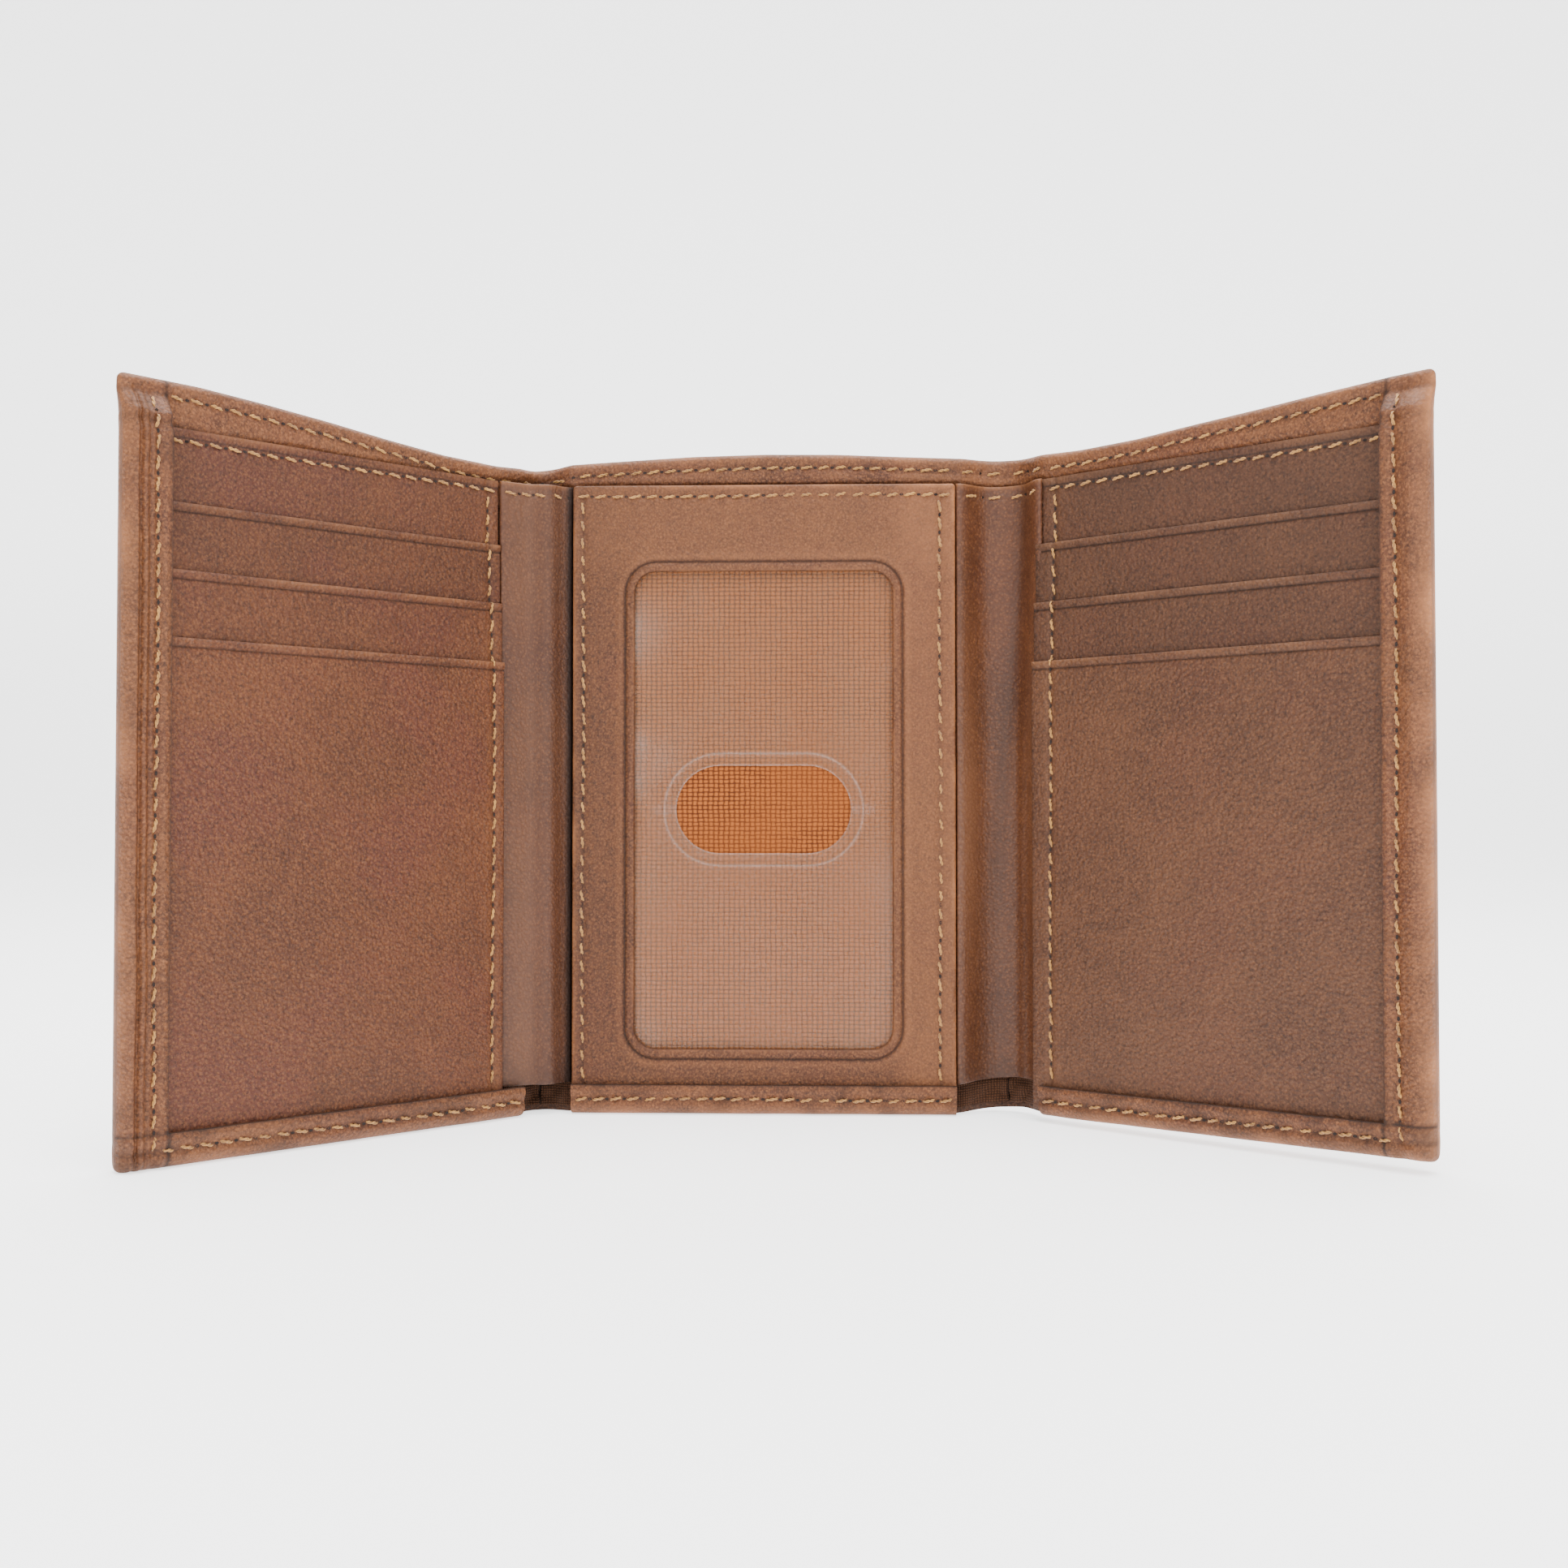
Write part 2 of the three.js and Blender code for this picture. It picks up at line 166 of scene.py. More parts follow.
class Wire:  # one shader value; arithmetic on it adds math nodes
    def __init__(self, tree, socket=None):
        self.tree, self.socket = tree, socket

    def node(self, kind, settings=None, values=None, out=0):
        made = self.tree.nodes.new(kind)
        for key, value in (settings or {}).items():
            setattr(made, key, value)
        for key, value in (values or {}).items():
            if isinstance(value, Wire):
                self.tree.links.new(value.socket, made.inputs[key])
            else:
                made.inputs[key].default_value = value
        return Wire(self.tree, made.outputs[out] if len(made.outputs) else None)

    def math(self, kind, *others, clamp=False):
        return self.node("ShaderNodeMath", dict(operation=kind, use_clamp=clamp),
            dict(enumerate((self,) + others)))

    def __add__(self, other):
        return self.math("ADD", other)

    def __sub__(self, other):
        return self.math("SUBTRACT", other)

    def __mul__(self, other):
        return self.math("MULTIPLY", other)

    def __truediv__(self, other):
        return self.math("DIVIDE", other)

    def __rsub__(self, other):
        return (self * -1.0) + other

    def __pow__(self, other):
        return self.math("POWER", other)

    def __rtruediv__(self, other):
        return (self ** -1.0) * other

    __radd__, __rmul__ = __add__, __mul__

    def clamp(self):
        return self.math("ADD", 0.0, clamp=True)

    def step(self, low, high):  # 0 below low, 1 above high
        return self.node("ShaderNodeMapRange", dict(interpolation_type="SMOOTHSTEP"), {0: self, 1: low, 2: high})

    def mix(self, a, b, blend="MIX"):  # this value is the factor between two colours
        return self.node("ShaderNodeMix", dict(data_type="RGBA", blend_type=blend), {0: self, 6: a, 7: b}, out=2)

    def scaled(self, by):
        return self.node("ShaderNodeVectorMath", dict(operation="MULTIPLY"), {0: self, 1: by})

    def cloud(self, scale, detail=2.0, rough=0.5):
        return self.node("ShaderNodeTexNoise", None,
            {"Vector": self, "Scale": scale, "Detail": detail, "Roughness": rough})

    def cells(self, scale, feature="F1"):
        return self.node("ShaderNodeTexVoronoi", dict(feature=feature), {"Vector": self, "Scale": scale})

    def bump(self, strength, distance, under=None):
        values = {"Height": self, "Strength": strength, "Distance": distance}
        if under is not None:
            values["Normal"] = under
        return self.node("ShaderNodeBump", None, values)


def startMaterial(name):
    mat = bpy.data.materials.new(name)
    mat.use_nodes = True
    mat.node_tree.nodes.clear()
    tree = mat.node_tree
    wire = Wire(tree)
    at = wire.node("ShaderNodeAttribute", dict(attribute_name="restPos"), out=1)
    return mat, wire, at


def attribute(wire, name):
    return wire.node("ShaderNodeAttribute", dict(attribute_name=name), out=2)


def endMaterial(wire, values, settings=None, through=None):
    surface = wire.node("ShaderNodeBsdfPrincipled", settings, values)
    if through is not None:
        clear = wire.node("ShaderNodeBsdfTransparent")
        surface = wire.node("ShaderNodeMixShader", None, {0: through, 1: clear, 2: surface})
    wire.node("ShaderNodeOutputMaterial", None, {0: surface})


def leather(name, look):
    mat, wire, at = startMaterial(name)
    wear, dark, tint = (attribute(wire, n) for n in ("wear", "dark", "tint"))
    large = at.cloud(0.035, 3.0, 0.55)
    medium = at.cloud(0.5, 5.0, 0.7)
    grain = at.scaled((1.0, 1.0, 0.75)).cells(look["grain"])
    pits = at.cloud(look["grain"], 4.0, 0.7)
    specks = at.scaled((1.0, 0.8, 0.6)).cloud(look["grain"] * 1.9, 3.0, 0.7)
    fibre = at.scaled((1.0, 0.18, 1.0)).cloud(1.1, 3.0, 0.6)
    patches = at.cloud(0.11, 4.0, 0.62)
    mottled = (large * 0.35 + patches * 0.4 + medium * 0.25).step(0.38, 0.60)
    colour = mottled.mix(look["deep"], look["body"])
    colour = (at.cloud(0.05, 3.0, 0.6).step(0.44, 0.66) * look["redShare"]).mix(colour, look["red"])
    colour = (pits.step(0.46, 0.66) * look["pit"]).mix(colour, look["shadow"])
    colour = (grain.step(0.55, 0.1) * 0.25).mix(colour, look["light"])
    colour = (specks.step(0.44, 0.76) * look["speck"]).mix(colour, look["light"])
    # painted sheen: the painted highlight mask mixes in the lighter sheen colour
    colour = tint.mix(colour, look["sheen"])
    scuffs = (wear * (0.35 + medium * 1.3)).clamp()
    colour = scuffs.mix(colour, look["light"])
    # painted shade: the dark mask mixes in the shadow colour, mostly shade in creases, grooves, slits and gaps,
    # with some blotches of the leather's own
    colour = (dark * 0.9).clamp().mix(colour, look["shadow"])
    rough = look["rough"] + (medium - 0.5) * 0.22 + (pits - 0.5) * 0.1 + dark * 0.15
    under = fibre.bump(0.12, 0.0006)
    relief = (grain * 0.6 + pits * 0.55 + specks * 0.25).bump(look["relief"], 0.00035, under)
    endMaterial(wire, {"Base Color": colour, "Roughness": rough.clamp(), "Normal": relief,
        "Specular IOR Level": look["shine"]})
    return mat


leatherBase = dict(body=(0.085, 0.0240, 0.0074, 1), deep=(0.056, 0.0155, 0.0050, 1),
    red=(0.072, 0.0175, 0.0090, 1), light=(0.23, 0.085, 0.028, 1),
    sheen=(0.17, 0.072, 0.034, 1), shadow=(0.010, 0.004, 0.0022, 1), redShare=0.75, speck=0.5,
    pit=0.6, grain=1.8, relief=0.6, rough=0.55, shine=0.3)
leftLeather = leather("inner_leather_left", leatherBase)
shellLeather = leather("shell_leather", dict(leatherBase, body=(0.112, 0.037, 0.0115, 1),
    deep=(0.058, 0.018, 0.0058, 1), light=(0.32, 0.12, 0.042, 1), redShare=0.3))
rightLeather = leather("inner_leather_right",
    dict(leatherBase, body=(0.075, 0.027, 0.0105, 1), deep=(0.049, 0.017, 0.0068, 1),
    light=(0.19, 0.078, 0.031, 1), redShare=0.2, speck=0.45))
frameLeather = leather("inner_leather_centre",
    dict(leatherBase, body=(0.084, 0.027, 0.0080, 1), deep=(0.062, 0.019, 0.0060, 1),
    light=(0.27, 0.10, 0.034, 1), redShare=0.3))
gussetLeather = leather("gusset_leather",
    dict(leatherBase, body=(0.074, 0.0235, 0.0076, 1), deep=(0.050, 0.0155, 0.0054, 1), speck=0.2, pit=0.3,
    redShare=0.15, relief=0.35, rough=0.46, shine=0.36))


def cloth(name, look):  # plain weave: warp and weft take turns on top
    mat, wire, at = startMaterial(name)
    dark = attribute(wire, "dark")
    x = wire.node("ShaderNodeSeparateXYZ", None, {0: at}) / look["warp"]
    z = wire.node("ShaderNodeSeparateXYZ", None, {0: at}, out=1) / look["weft"]
    wobble = at.cloud(0.35, 2.0)
    x, z = x + wobble * 0.5, z + wobble * 0.35
    odd = (x.math("FLOOR") + z.math("FLOOR")).math("MODULO", 2.0).math("ABSOLUTE").math("GREATER_THAN", 0.5)
    acrossX = (x.math("FRACT") * math.pi).math("SINE")
    acrossZ = (z.math("FRACT") * math.pi).math("SINE")
    warpTop = acrossX * (0.35 + acrossZ * 0.65)
    weftTop = acrossZ * (0.35 + acrossX * 0.65)
    high = odd * warpTop + (1.0 - odd) * weftTop
    slub = at.scaled((0.35, 2.2, 1)).cloud(1.2, 3.0, 0.6)
    colour = (high * 0.75 + slub * 0.5).step(0.25, 0.95).mix(look["low"], look["high"])
    colour = (at.cloud(0.06, 3.0).step(0.4, 0.7) * 0.35).mix(colour, look["stain"])
    colour = dark.mix(colour, look["shadow"])
    relief = (high + slub * 0.2).bump(0.7, 0.00025)
    endMaterial(wire, {"Base Color": colour, "Roughness": 0.82, "Normal": relief, "Specular IOR Level": 0.2})
    return mat


canvasCloth = cloth("canvas", dict(warp=0.85, weft=0.7, low=(0.070, 0.016, 0.0028, 1),
    high=(0.34, 0.095, 0.0165, 1), stain=(0.24, 0.062, 0.010, 1), shadow=(0.03, 0.01, 0.003, 1)))
liningCloth = cloth("lining_cloth", dict(warp=0.4, weft=0.4, low=(0.022, 0.008, 0.0035, 1),
    high=(0.070, 0.027, 0.011, 1), stain=(0.045, 0.017, 0.007, 1), shadow=(0.008, 0.004, 0.0025, 1)))


def threadLook():
    mat, wire, at = startMaterial("thread")
    fuzz = at.cloud(6.0, 3.0, 0.6)
    slow = at.cloud(0.3, 2.0)
    colour = (fuzz * 0.6 + slow * 0.4).step(0.35, 0.65).mix((0.19, 0.078, 0.010, 1), (0.47, 0.22, 0.034, 1))
    endMaterial(wire, {"Base Color": colour, "Roughness": 0.5 + (fuzz - 0.5) * 0.3,
        "Normal": fuzz.bump(0.3, 0.0001), "Sheen Weight": 0.3})
    return mat


# the needle holes are coloured with painted shade
def holeShadeLook():
    mat, wire, at = startMaterial("needle_holes")
    colour = at.cloud(3.0).step(0.3, 0.7).mix((0.007, 0.003, 0.002, 1), (0.018, 0.007, 0.003, 1))
    endMaterial(wire, {"Base Color": colour, "Roughness": 0.9})
    return mat


def filmLook():
    mat, wire, at = startMaterial("clear_film")
    film = dict(haze=0.17, smear=0.5)
    smear = at.scaled((1.0, 0.45, 1)).cloud(0.12, 3.0, 0.55).step(0.45, 0.75)
    glare = attribute(wire, "tint")
    # painted highlight on the rib and edge of the thumb hole
    rim = attribute(wire, "wear")
    # painted reflection: glare and rim highlights turn the film near-white and less clear
    paintedGlare = (glare * (0.25 + smear * 0.75) * film["smear"] + rim * 0.2).clamp()
    cover = (film["haze"] + smear * 0.05 + paintedGlare).clamp()
    colour = (paintedGlare * 2.2).clamp().mix((0.26, 0.150, 0.090, 1), (0.72, 0.71, 0.70, 1))
    endMaterial(wire, {"Base Color": colour, "Roughness": 0.22 + smear * 0.1, "Specular IOR Level": 0.6},
        through=cover)
    return mat


threadMaterial, holeShadeMaterial, filmMaterial = threadLook(), holeShadeLook(), filmLook()
print("materials ready")

pieceCount = [0]


def meshPiece(name, points, faces, material, slot, rest, masks=None, hide=None, indices=None):
    mesh = bpy.data.meshes.new(name)
    mesh.from_pydata([tuple(p) for p in points], [], faces)
    for m in material if isinstance(material, (list, tuple)) else [material]:
        mesh.materials.append(m)
    if indices is not None:
        mesh.polygons.foreach_set("material_index", indices)
    mesh.polygons.foreach_set("use_smooth", [True] * len(mesh.polygons))
    pieceCount[0] += 1
    rest = np.asarray(rest, float)
    if hide:  # cut from one hide with its neighbours: the way it runs and where it starts
        rest = rest * (hide[0], 1, 1) + (hide[1], 0, 0)
    else:
        rest = rest + np.array([37.0, 53.0, 11.0]) * pieceCount[0]
    attr = mesh.attributes.new("restPos", "FLOAT_VECTOR", "POINT")
    attr.data.foreach_set("vector", rest.astype(np.float32).ravel())
    # per-point masks: wear with painted highlight, dark (painted shade with some real blotches), painted
    # highlight
    for key in ("wear", "dark", "tint"):
        values = np.zeros(len(points)) if masks is None or key not in masks else np.clip(masks[key], 0, 1)
        mesh.attributes.new(key, "FLOAT", "POINT").data.foreach_set("value", np.asarray(values, np.float32))
    mesh.update()
    obj = bpy.data.objects.new(name, mesh)
    bpy.context.scene.collection.objects.link(obj)
    return obj


# grid lines, close together at a rounded rim and in the fine bands
def lines(low, high, pitch, rim=0.0, fine=()):
    steps = max(2, int(round((high - low) / pitch)))
    at = list(np.linspace(low, high, steps + 1))
    if rim:
        for share in (0.03, 0.12, 0.3, 0.6, 1.0):
            at += [low + rim * share, high - rim * share]
    for a, b, p in fine:
        at += list(np.arange(max(low, a), min(high, b), p))
    at = np.unique(np.round(at, 4))
    keep = [at[0]]
    for v in at[1:]:
        if v - keep[-1] > 0.012:
            keep.append(v)
    keep[-1] = at[-1]
    return np.array(keep)


def wave(s, z, seed, size, amount):  # slow unevenness of a sheet, in millimetres
    s, z = np.broadcast_arrays(s, z)
    flat = [noise.noise(Vector((a / size, b / size, seed))) for a, b in zip(s.ravel(), z.ravel())]
    return np.array(flat).reshape(s.shape) * amount


def roundOff(d, radius):  # thickness left at distance d from a rounded edge, 0 to 1
    t = np.clip(1 - d / radius, 0, 1)
    return np.sqrt(1 - t * t)


def ridge(d, at, wide):
    return np.exp(-((d - at) / wide) ** 2)


def gridFaces(index, flip=False, keep=None):
    faces = []
    for i in range(index.shape[0] - 1):
        for j in range(index.shape[1] - 1):
            if keep is not None and not keep[i, j]:
                continue
            f = (index[i, j], index[i + 1, j], index[i + 1, j + 1], index[i, j + 1])
            f = tuple(int(v) for v in (f[::-1] if flip else f))
            if len(set(f)) == 4:
                faces.append(f)
            elif len(set(f)) == 3:
                faces.append(tuple(dict.fromkeys(f)))
    return faces


def slab(name, cols, rows, front, back, place, material, slot, rim=0.22, masks=None, mirror=False, joined=None,
        hide=None):
    # a sheet with rounded edges; front and back give its two faces' depths
    s, z = np.meshgrid(cols, rows, indexing="ij")
    low = 99.0 if joined == 0 else s - cols[0]
    high = 99.0 if joined == -1 else cols[-1] - s
    d = np.minimum(np.minimum(low, high), np.minimum(z - rows[0], rows[-1] - z))
    f, b = front(s, z), back(s, z)
    half = (f - b) / 2 * roundOff(d, rim)
    mid = (f + b) / 2
    count = s.size
    index = np.arange(count).reshape(s.shape)
    inside = np.ones(s.shape, bool)
    inside[:, 0] = inside[:, -1] = False
    if joined != 0:
        inside[0] = False
    if joined != -1:
        inside[-1] = False
    under = index.copy()
    under[inside] = count + np.arange(inside.sum())
    points = np.concatenate([place(s, mid + half, z).reshape(-1, 3), place(s, mid - half, z)[inside]])
    rest = np.stack([s, z, mid + half], -1).reshape(-1, 3)
    rest = np.concatenate([rest, np.stack([s, z, mid - half], -1)[inside] + (0, 0, 40)])
    made = {k: np.concatenate([np.broadcast_to(m(s, z, d), s.shape).ravel(), np.zeros(inside.sum())]) for k,
        m in (masks or {}).items()}
    faces = gridFaces(index, flip=mirror) + gridFaces(under, flip=not mirror)
    return meshPiece(name, points, faces, material, slot, rest, made, hide)


def boxSlab(name, box, pitch, rim, *rest, **more):  # a slab over the whole extent of a CAD node
    cols = lines(box["s0"], box["s1"], pitch, rim)
    return slab(name, cols, lines(box["z0"], box["z1"], pitch, rim), *rest, **more)


def liningFaces(box):  # behind the top hem the lining leans back
    lean = lambda z: ease((z - 98) / 3)
    return lambda s, z: box["u1"] - 0.25 * lean(z), lambda s, z: box["u0"] - 0.17 * lean(z)


def loopPoints(cx, cz, halfW, halfH, radius, sideSteps=(60, 110), cornerSteps=10):
    radius = max(radius, 0.01)
    pts = []
    corners = [(1, 1, 0), (-1, 1, 90), (-1, -1, 180), (1, -1, 270)]
    for k, (a, b, start) in enumerate(corners):
        ox, oz = cx + a * (halfW - radius), cz + b * (halfH - radius)
        arc = [math.radians(start + 90 * i / cornerSteps) for i in range(cornerSteps + 1)]
        pts += [(ox + radius * math.cos(t), oz + radius * math.sin(t)) for t in arc]
        nxt = corners[(k + 1) % 4]
        ex, ez = cx + nxt[0] * (halfW - radius), cz + nxt[1] * (halfH - radius)
        t = arc[-1]
        p0 = np.array([ox + radius * math.cos(t), oz + radius * math.sin(t)])
        p1 = np.array([ex + radius * math.cos(t), ez + radius * math.sin(t)])
        steps = sideSteps[k % 2]
        pts += [tuple(p0 + (p1 - p0) * i / steps) for i in range(1, steps)]
    return np.array(pts)


def ringSlab(name, loops, front, back, place, material, slot, masks):
    # a sheet with a hole: loops of equal length run from the hole's edge outward, each with its distances
    # from the hole and from the outer edge
    n = len(loops[0][0])
    grid = np.array([l[0] for l in loops])
    dHole = np.array([np.full(n, l[1]) for l in loops])
    dOut = np.array([np.full(n, l[2]) for l in loops])
    s, z = grid[:, :, 0], grid[:, :, 1]
    f, b = front(s, z, dHole, dOut), back(s, z)
    half = (f - b) / 2 * roundOff(np.minimum(dHole, dOut), 0.3)
    mid = (f + b) / 2
    m = len(loops)
    index = np.arange(m * n).reshape(m, n)
    under = index.copy()
    under[1:-1] = m * n + np.arange((m - 2) * n).reshape(m - 2, n)
    points = np.concatenate([place(s, mid + half, z).reshape(-1, 3),
        place(s, mid - half, z)[1:-1].reshape(-1, 3)])
    rest = np.stack([s, z, mid + half], -1)
    rest = np.concatenate([rest.reshape(-1, 3), rest[1:-1].reshape(-1, 3) + (0, 0, 40)])
    made = {k: np.concatenate([g(s, z, dHole, dOut).ravel(), np.zeros((m - 2) * n)]) for k, g in masks.items()}
    wrap = lambda a: np.concatenate([a, a[:, :1]], 1)
    faces = gridFaces(wrap(index)) + gridFaces(wrap(under), flip=True)
    return meshPiece(name, points, faces, material, slot, rest, made)


def hemmedShell(name, cols, place, outer, bottom, masks, mirror, leafFront, wobble, joined=(), hide=(1, 0)):
    # shell leather with its hems turned in: back skin, rounded edges and hem leaves, on one grid
    rows = lines(0, height, 1.6, hem["edge"], [(0, 6.4, 0.35), (height - 5.6, height, 0.35)])
    s, z = np.meshgrid(cols, rows, indexing="ij")
    last = cols[-1]
    dOuter = last - s if outer else np.full(s.shape, 99.0)
    dBottom = z if bottom else np.full(s.shape, 99.0)
    dTop = height - z
    depth = leafFront(s, z, dOuter, dBottom, dTop)
    thin = np.where(dTop < hem["top"] + 2, 0.45 if not outer else np.where(dOuter > hem["outer"], 0.45, 0.6),
        skin)
    edge = roundOff(dOuter, hem["edge"]) * roundOff(dBottom, hem["edge"]) * roundOff(dTop, 1.0)
    mid = depth / 2
    sway = wobble(s, z)
    bentS, bentZ = s.copy(), z.copy()
    corner = hem["corner"]
    if outer:
        for top in (True, False):
            a = np.clip((s - (last - corner)) / corner, 0, 1)
            b = np.clip(((z - (height - corner)) if top else (corner - z)) / corner, 0, 1)
            bentS = np.where((a > 0) & (b > 0), last - corner + corner * a * np.sqrt(1 - b * b / 2), bentS)
            rise = b * np.sqrt(1 - a * a / 2) * corner
            bentZ = np.where((a > 0) & (b > 0), (height - corner + rise) if top else (corner - rise), bentZ)
    inS = bentS - (skin * np.clip(1 - dOuter / hem["edge"], 0, 1) if outer else 0)
    inZ = (bentZ - thin * np.clip(1 - dTop / 1.0, 0, 1)
        + (skin * np.clip(1 - dBottom / hem["edge"], 0, 1) if bottom else 0))
    backU, frontU = mid - mid * edge, mid + (depth - mid) * edge
    backIn = mid - np.maximum(mid - skin, 0.02) * edge
    frontIn = mid + np.maximum(depth - thin - mid, 0.02) * edge
    onLeaf = (dOuter <= hem["outer"] + 1e-3) | (dBottom <= hem["bottom"] + 1e-3) | (dTop <= hem["top"] + 1e-3)
    cell = onLeaf[:-1, :-1] & onLeaf[1:, :-1] & onLeaf[:-1, 1:] & onLeaf[1:, 1:]
    shared = (dOuter < 1e-6) | (dBottom < 1e-6) | (dTop < 1e-6)
    n = s.size
    iB = np.arange(n).reshape(s.shape)
    iBi = iB + n
    iF = np.where(shared, iB, iB + 2 * n)
    iFi = np.where(shared, iBi, iB + 3 * n)
    layers = [(bentS, backU, bentZ), (inS, backIn, inZ), (bentS, frontU, bentZ), (inS, frontIn, inZ)]
    points = np.concatenate([place(a, u + sway, z).reshape(-1, 3) for a, u, z in layers])
    rest = np.concatenate([np.stack([a, z, u + k * 30.0], -1).reshape(-1, 3) for k,
        (a, u, z) in enumerate(layers)])
    faces = (gridFaces(iB, flip=not mirror) + gridFaces(iBi, flip=mirror) + gridFaces(iF, flip=mirror, keep=cell)
        + gridFaces(iFi, flip=not mirror, keep=cell))

    def wall(a, b, reverse):
        f = tuple(int(v) for v in (a[0], a[1], b[1], b[0]))
        f = tuple(dict.fromkeys(f[::-1] if reverse else f))
        if len(f) > 2:
            faces.append(f)
    wide, tall = cell.shape
    for i in range(wide + 1):
        for j in range(tall):
            lo, hi = (cell[i - 1, j] if i > 0 else False), (cell[i, j] if i < wide else False)
            if i in (0, wide) and (-1 if i else 0) in joined:
                continue
            if lo != hi and not (shared[i, j] and shared[i, j + 1]):
                wall((iF[i, j], iF[i, j + 1]), (iFi[i, j], iFi[i, j + 1]), hi != mirror)
            if i in (0, wide) and not (shared[i, j] and shared[i, j + 1]):
                wall((iB[i, j], iB[i, j + 1]), (iBi[i, j], iBi[i, j + 1]), (i == wide) != mirror)
    for i in range(wide):
        for j in range(tall + 1):
            lo, hi = (cell[i, j - 1] if j > 0 else False), (cell[i, j] if j < tall else False)
            if lo != hi and not (shared[i, j] and shared[i + 1, j]):
                wall((iF[i, j], iF[i + 1, j]), (iFi[i, j], iFi[i + 1, j]), lo != mirror)
            if j in (0, tall) and not (shared[i, j] and shared[i + 1, j]):
                wall((iB[i, j], iB[i + 1, j]), (iBi[i, j], iBi[i + 1, j]), (j == 0) != mirror)
    masksMade = {k: np.concatenate([g(s * hide[0] + hide[1], z, dOuter, dBottom, dTop, layer).ravel()
        for layer in range(4)]) for k, g in masks.items()}
    used = sorted({v for f in faces for v in f})
    order = -np.ones(4 * n, int)
    order[used] = np.arange(len(used))
    return meshPiece(name, points[used], [tuple(int(order[v]) for v in f) for f in faces], shellLeather,
        "shell_leather", rest[used], {k: v[used] for k, v in masksMade.items()}, hide)


def topPuff(dTop):
    return 0.28 * np.exp(-((dTop - 1.0) / 0.9) ** 2) - 0.22 * ridge(dTop, height - topSeam, 0.55)


def shellMasks(edgeWear):
    def wear(s, z, dOuter, dBottom, dTop, layer):
        rim = np.exp(-np.minimum(np.minimum(dOuter, dBottom), dTop) / 0.9)
        patch = np.clip(wave(s, z, 5.0, 9.0, 1.6) + 0.35, 0, 1)
        return (0.7 * rim * (0.35 + patch) + 0.25 * patch * ridge(dTop, 3.6, 0.7)) * edgeWear * (layer in (0, 2))

    # painted shade along the hem leaves' cut edges, in the stitch grooves and on the shell's inner faces; the
    # blotches on the bottom and outer hems are the leather's own mottling
    def dark(s, z, dOuter, dBottom, dTop, layer):
        cut = (0.75 * ridge(dOuter, hem["outer"], 0.35) + 0.75 * ridge(dBottom, hem["bottom"], 0.3)
            + 0.3 * ridge(dTop, hem["top"], 0.15))
        blotch = (0.4 * np.clip(wave(s, z, 6.5, 3.2, 1.5) + 0.1, 0, 1) * (dBottom < hem["bottom"])
            + 0.3 * np.clip(wave(s, z, 6.6, 4.0, 1.5), 0, 1) * (dOuter < hem["outer"]))
        seams = blotch + 0.3 * ridge(dTop, height - topSeam, 0.35) + 0.3 * ridge(dBottom, lowSeam, 0.35)
        return (cut + seams) if layer == 2 else (0.6 if layer in (1, 3) else 0.0) * np.ones(s.shape)
    return dict(wear=wear, dark=dark)


wingSway = {side.name: (lambda s, z, k=side.sign: wave(s, z, 3.0 + k, 26.0, 0.45)) for side in (left, right)}


def topFront(drop, dTop):  # the top hem is full at its seam and tucks in behind the inner panel
    return hem["topLeaf"] - 0.58 * ease((dTop - np.maximum(1.6, 4.7 + drop)) / 0.7)


def leafDepth(side=None, settle=None):
    def depth(s, z, dOuter, dBottom, dTop):
        base = np.where(dTop < hem["top"] + 0.01, topFront(settle(s), dTop) + topPuff(dTop), hem["leaf"])
        if side is not None:
            rise = ease((dTop - 1.2) / 5.5)
            band = ease((hem["outer"] + 0.8 - dOuter) / 1.0)
            base = np.where(dTop < hem["top"] + 0.01, base + (hem["leaf"] - hem["topLeaf"]) * rise * band, base)
            base = np.where((dTop >= hem["top"] + 0.01) & (dBottom > hem["bottom"] + 0.01), hem["topLeaf"]
                + (hem["leaf"] - hem["topLeaf"]) * rise, base)
            drift = wave(np.zeros_like(z), z, 7.0, 17.0, 0.35)
            near = dOuter < hem["outer"] + 0.5
            lifted = -0.30 * ridge(dOuter, hem["seam"], 0.6)
            if side.sign < 0:  # the left hem is creased into several ridges, the right one is smooth
                lifted += (0.34 * ridge(dOuter + drift, 2.7, 0.42)
                    + 0.30 * ridge(dOuter + drift * 0.6, 1.45, 0.34) - 0.42 * ridge(dOuter + drift, 2.05, 0.25)
                    - 0.3 * ridge(dOuter + drift, 3.35, 0.25) + 0.2 * ridge(dOuter, 5.6, 0.6))
            else:
                lifted += 0.28 * ridge(dOuter + drift * 0.4, 2.3, 0.9) + 0.15 * ridge(dOuter, 5.7, 0.7)
            base = base + np.where(near, lifted * ease((dTop - 0.5) / 5), 0)
        low = -0.28 * ridge(dBottom, lowSeam, 0.6) + 0.2 * ridge(dBottom, 4.1, 0.6) + wave(s, z, 9.0, 6.0, 0.25)
        return base + np.where(dBottom < hem["bottom"] + 0.4, low, 0)
    return depth


shellC = hemmedShell("shell_centre_leather", lines(shellCentre["s0"], shellCentre["s1"], 1.1, 0),
    sagged(placeCentre), False, True, shellMasks(0.9), False, leafDepth(None, centreDrop), lambda s, z: 0 * s,
    joined=(0, -1))
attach(shellC, "centre")
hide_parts("shell_centre")

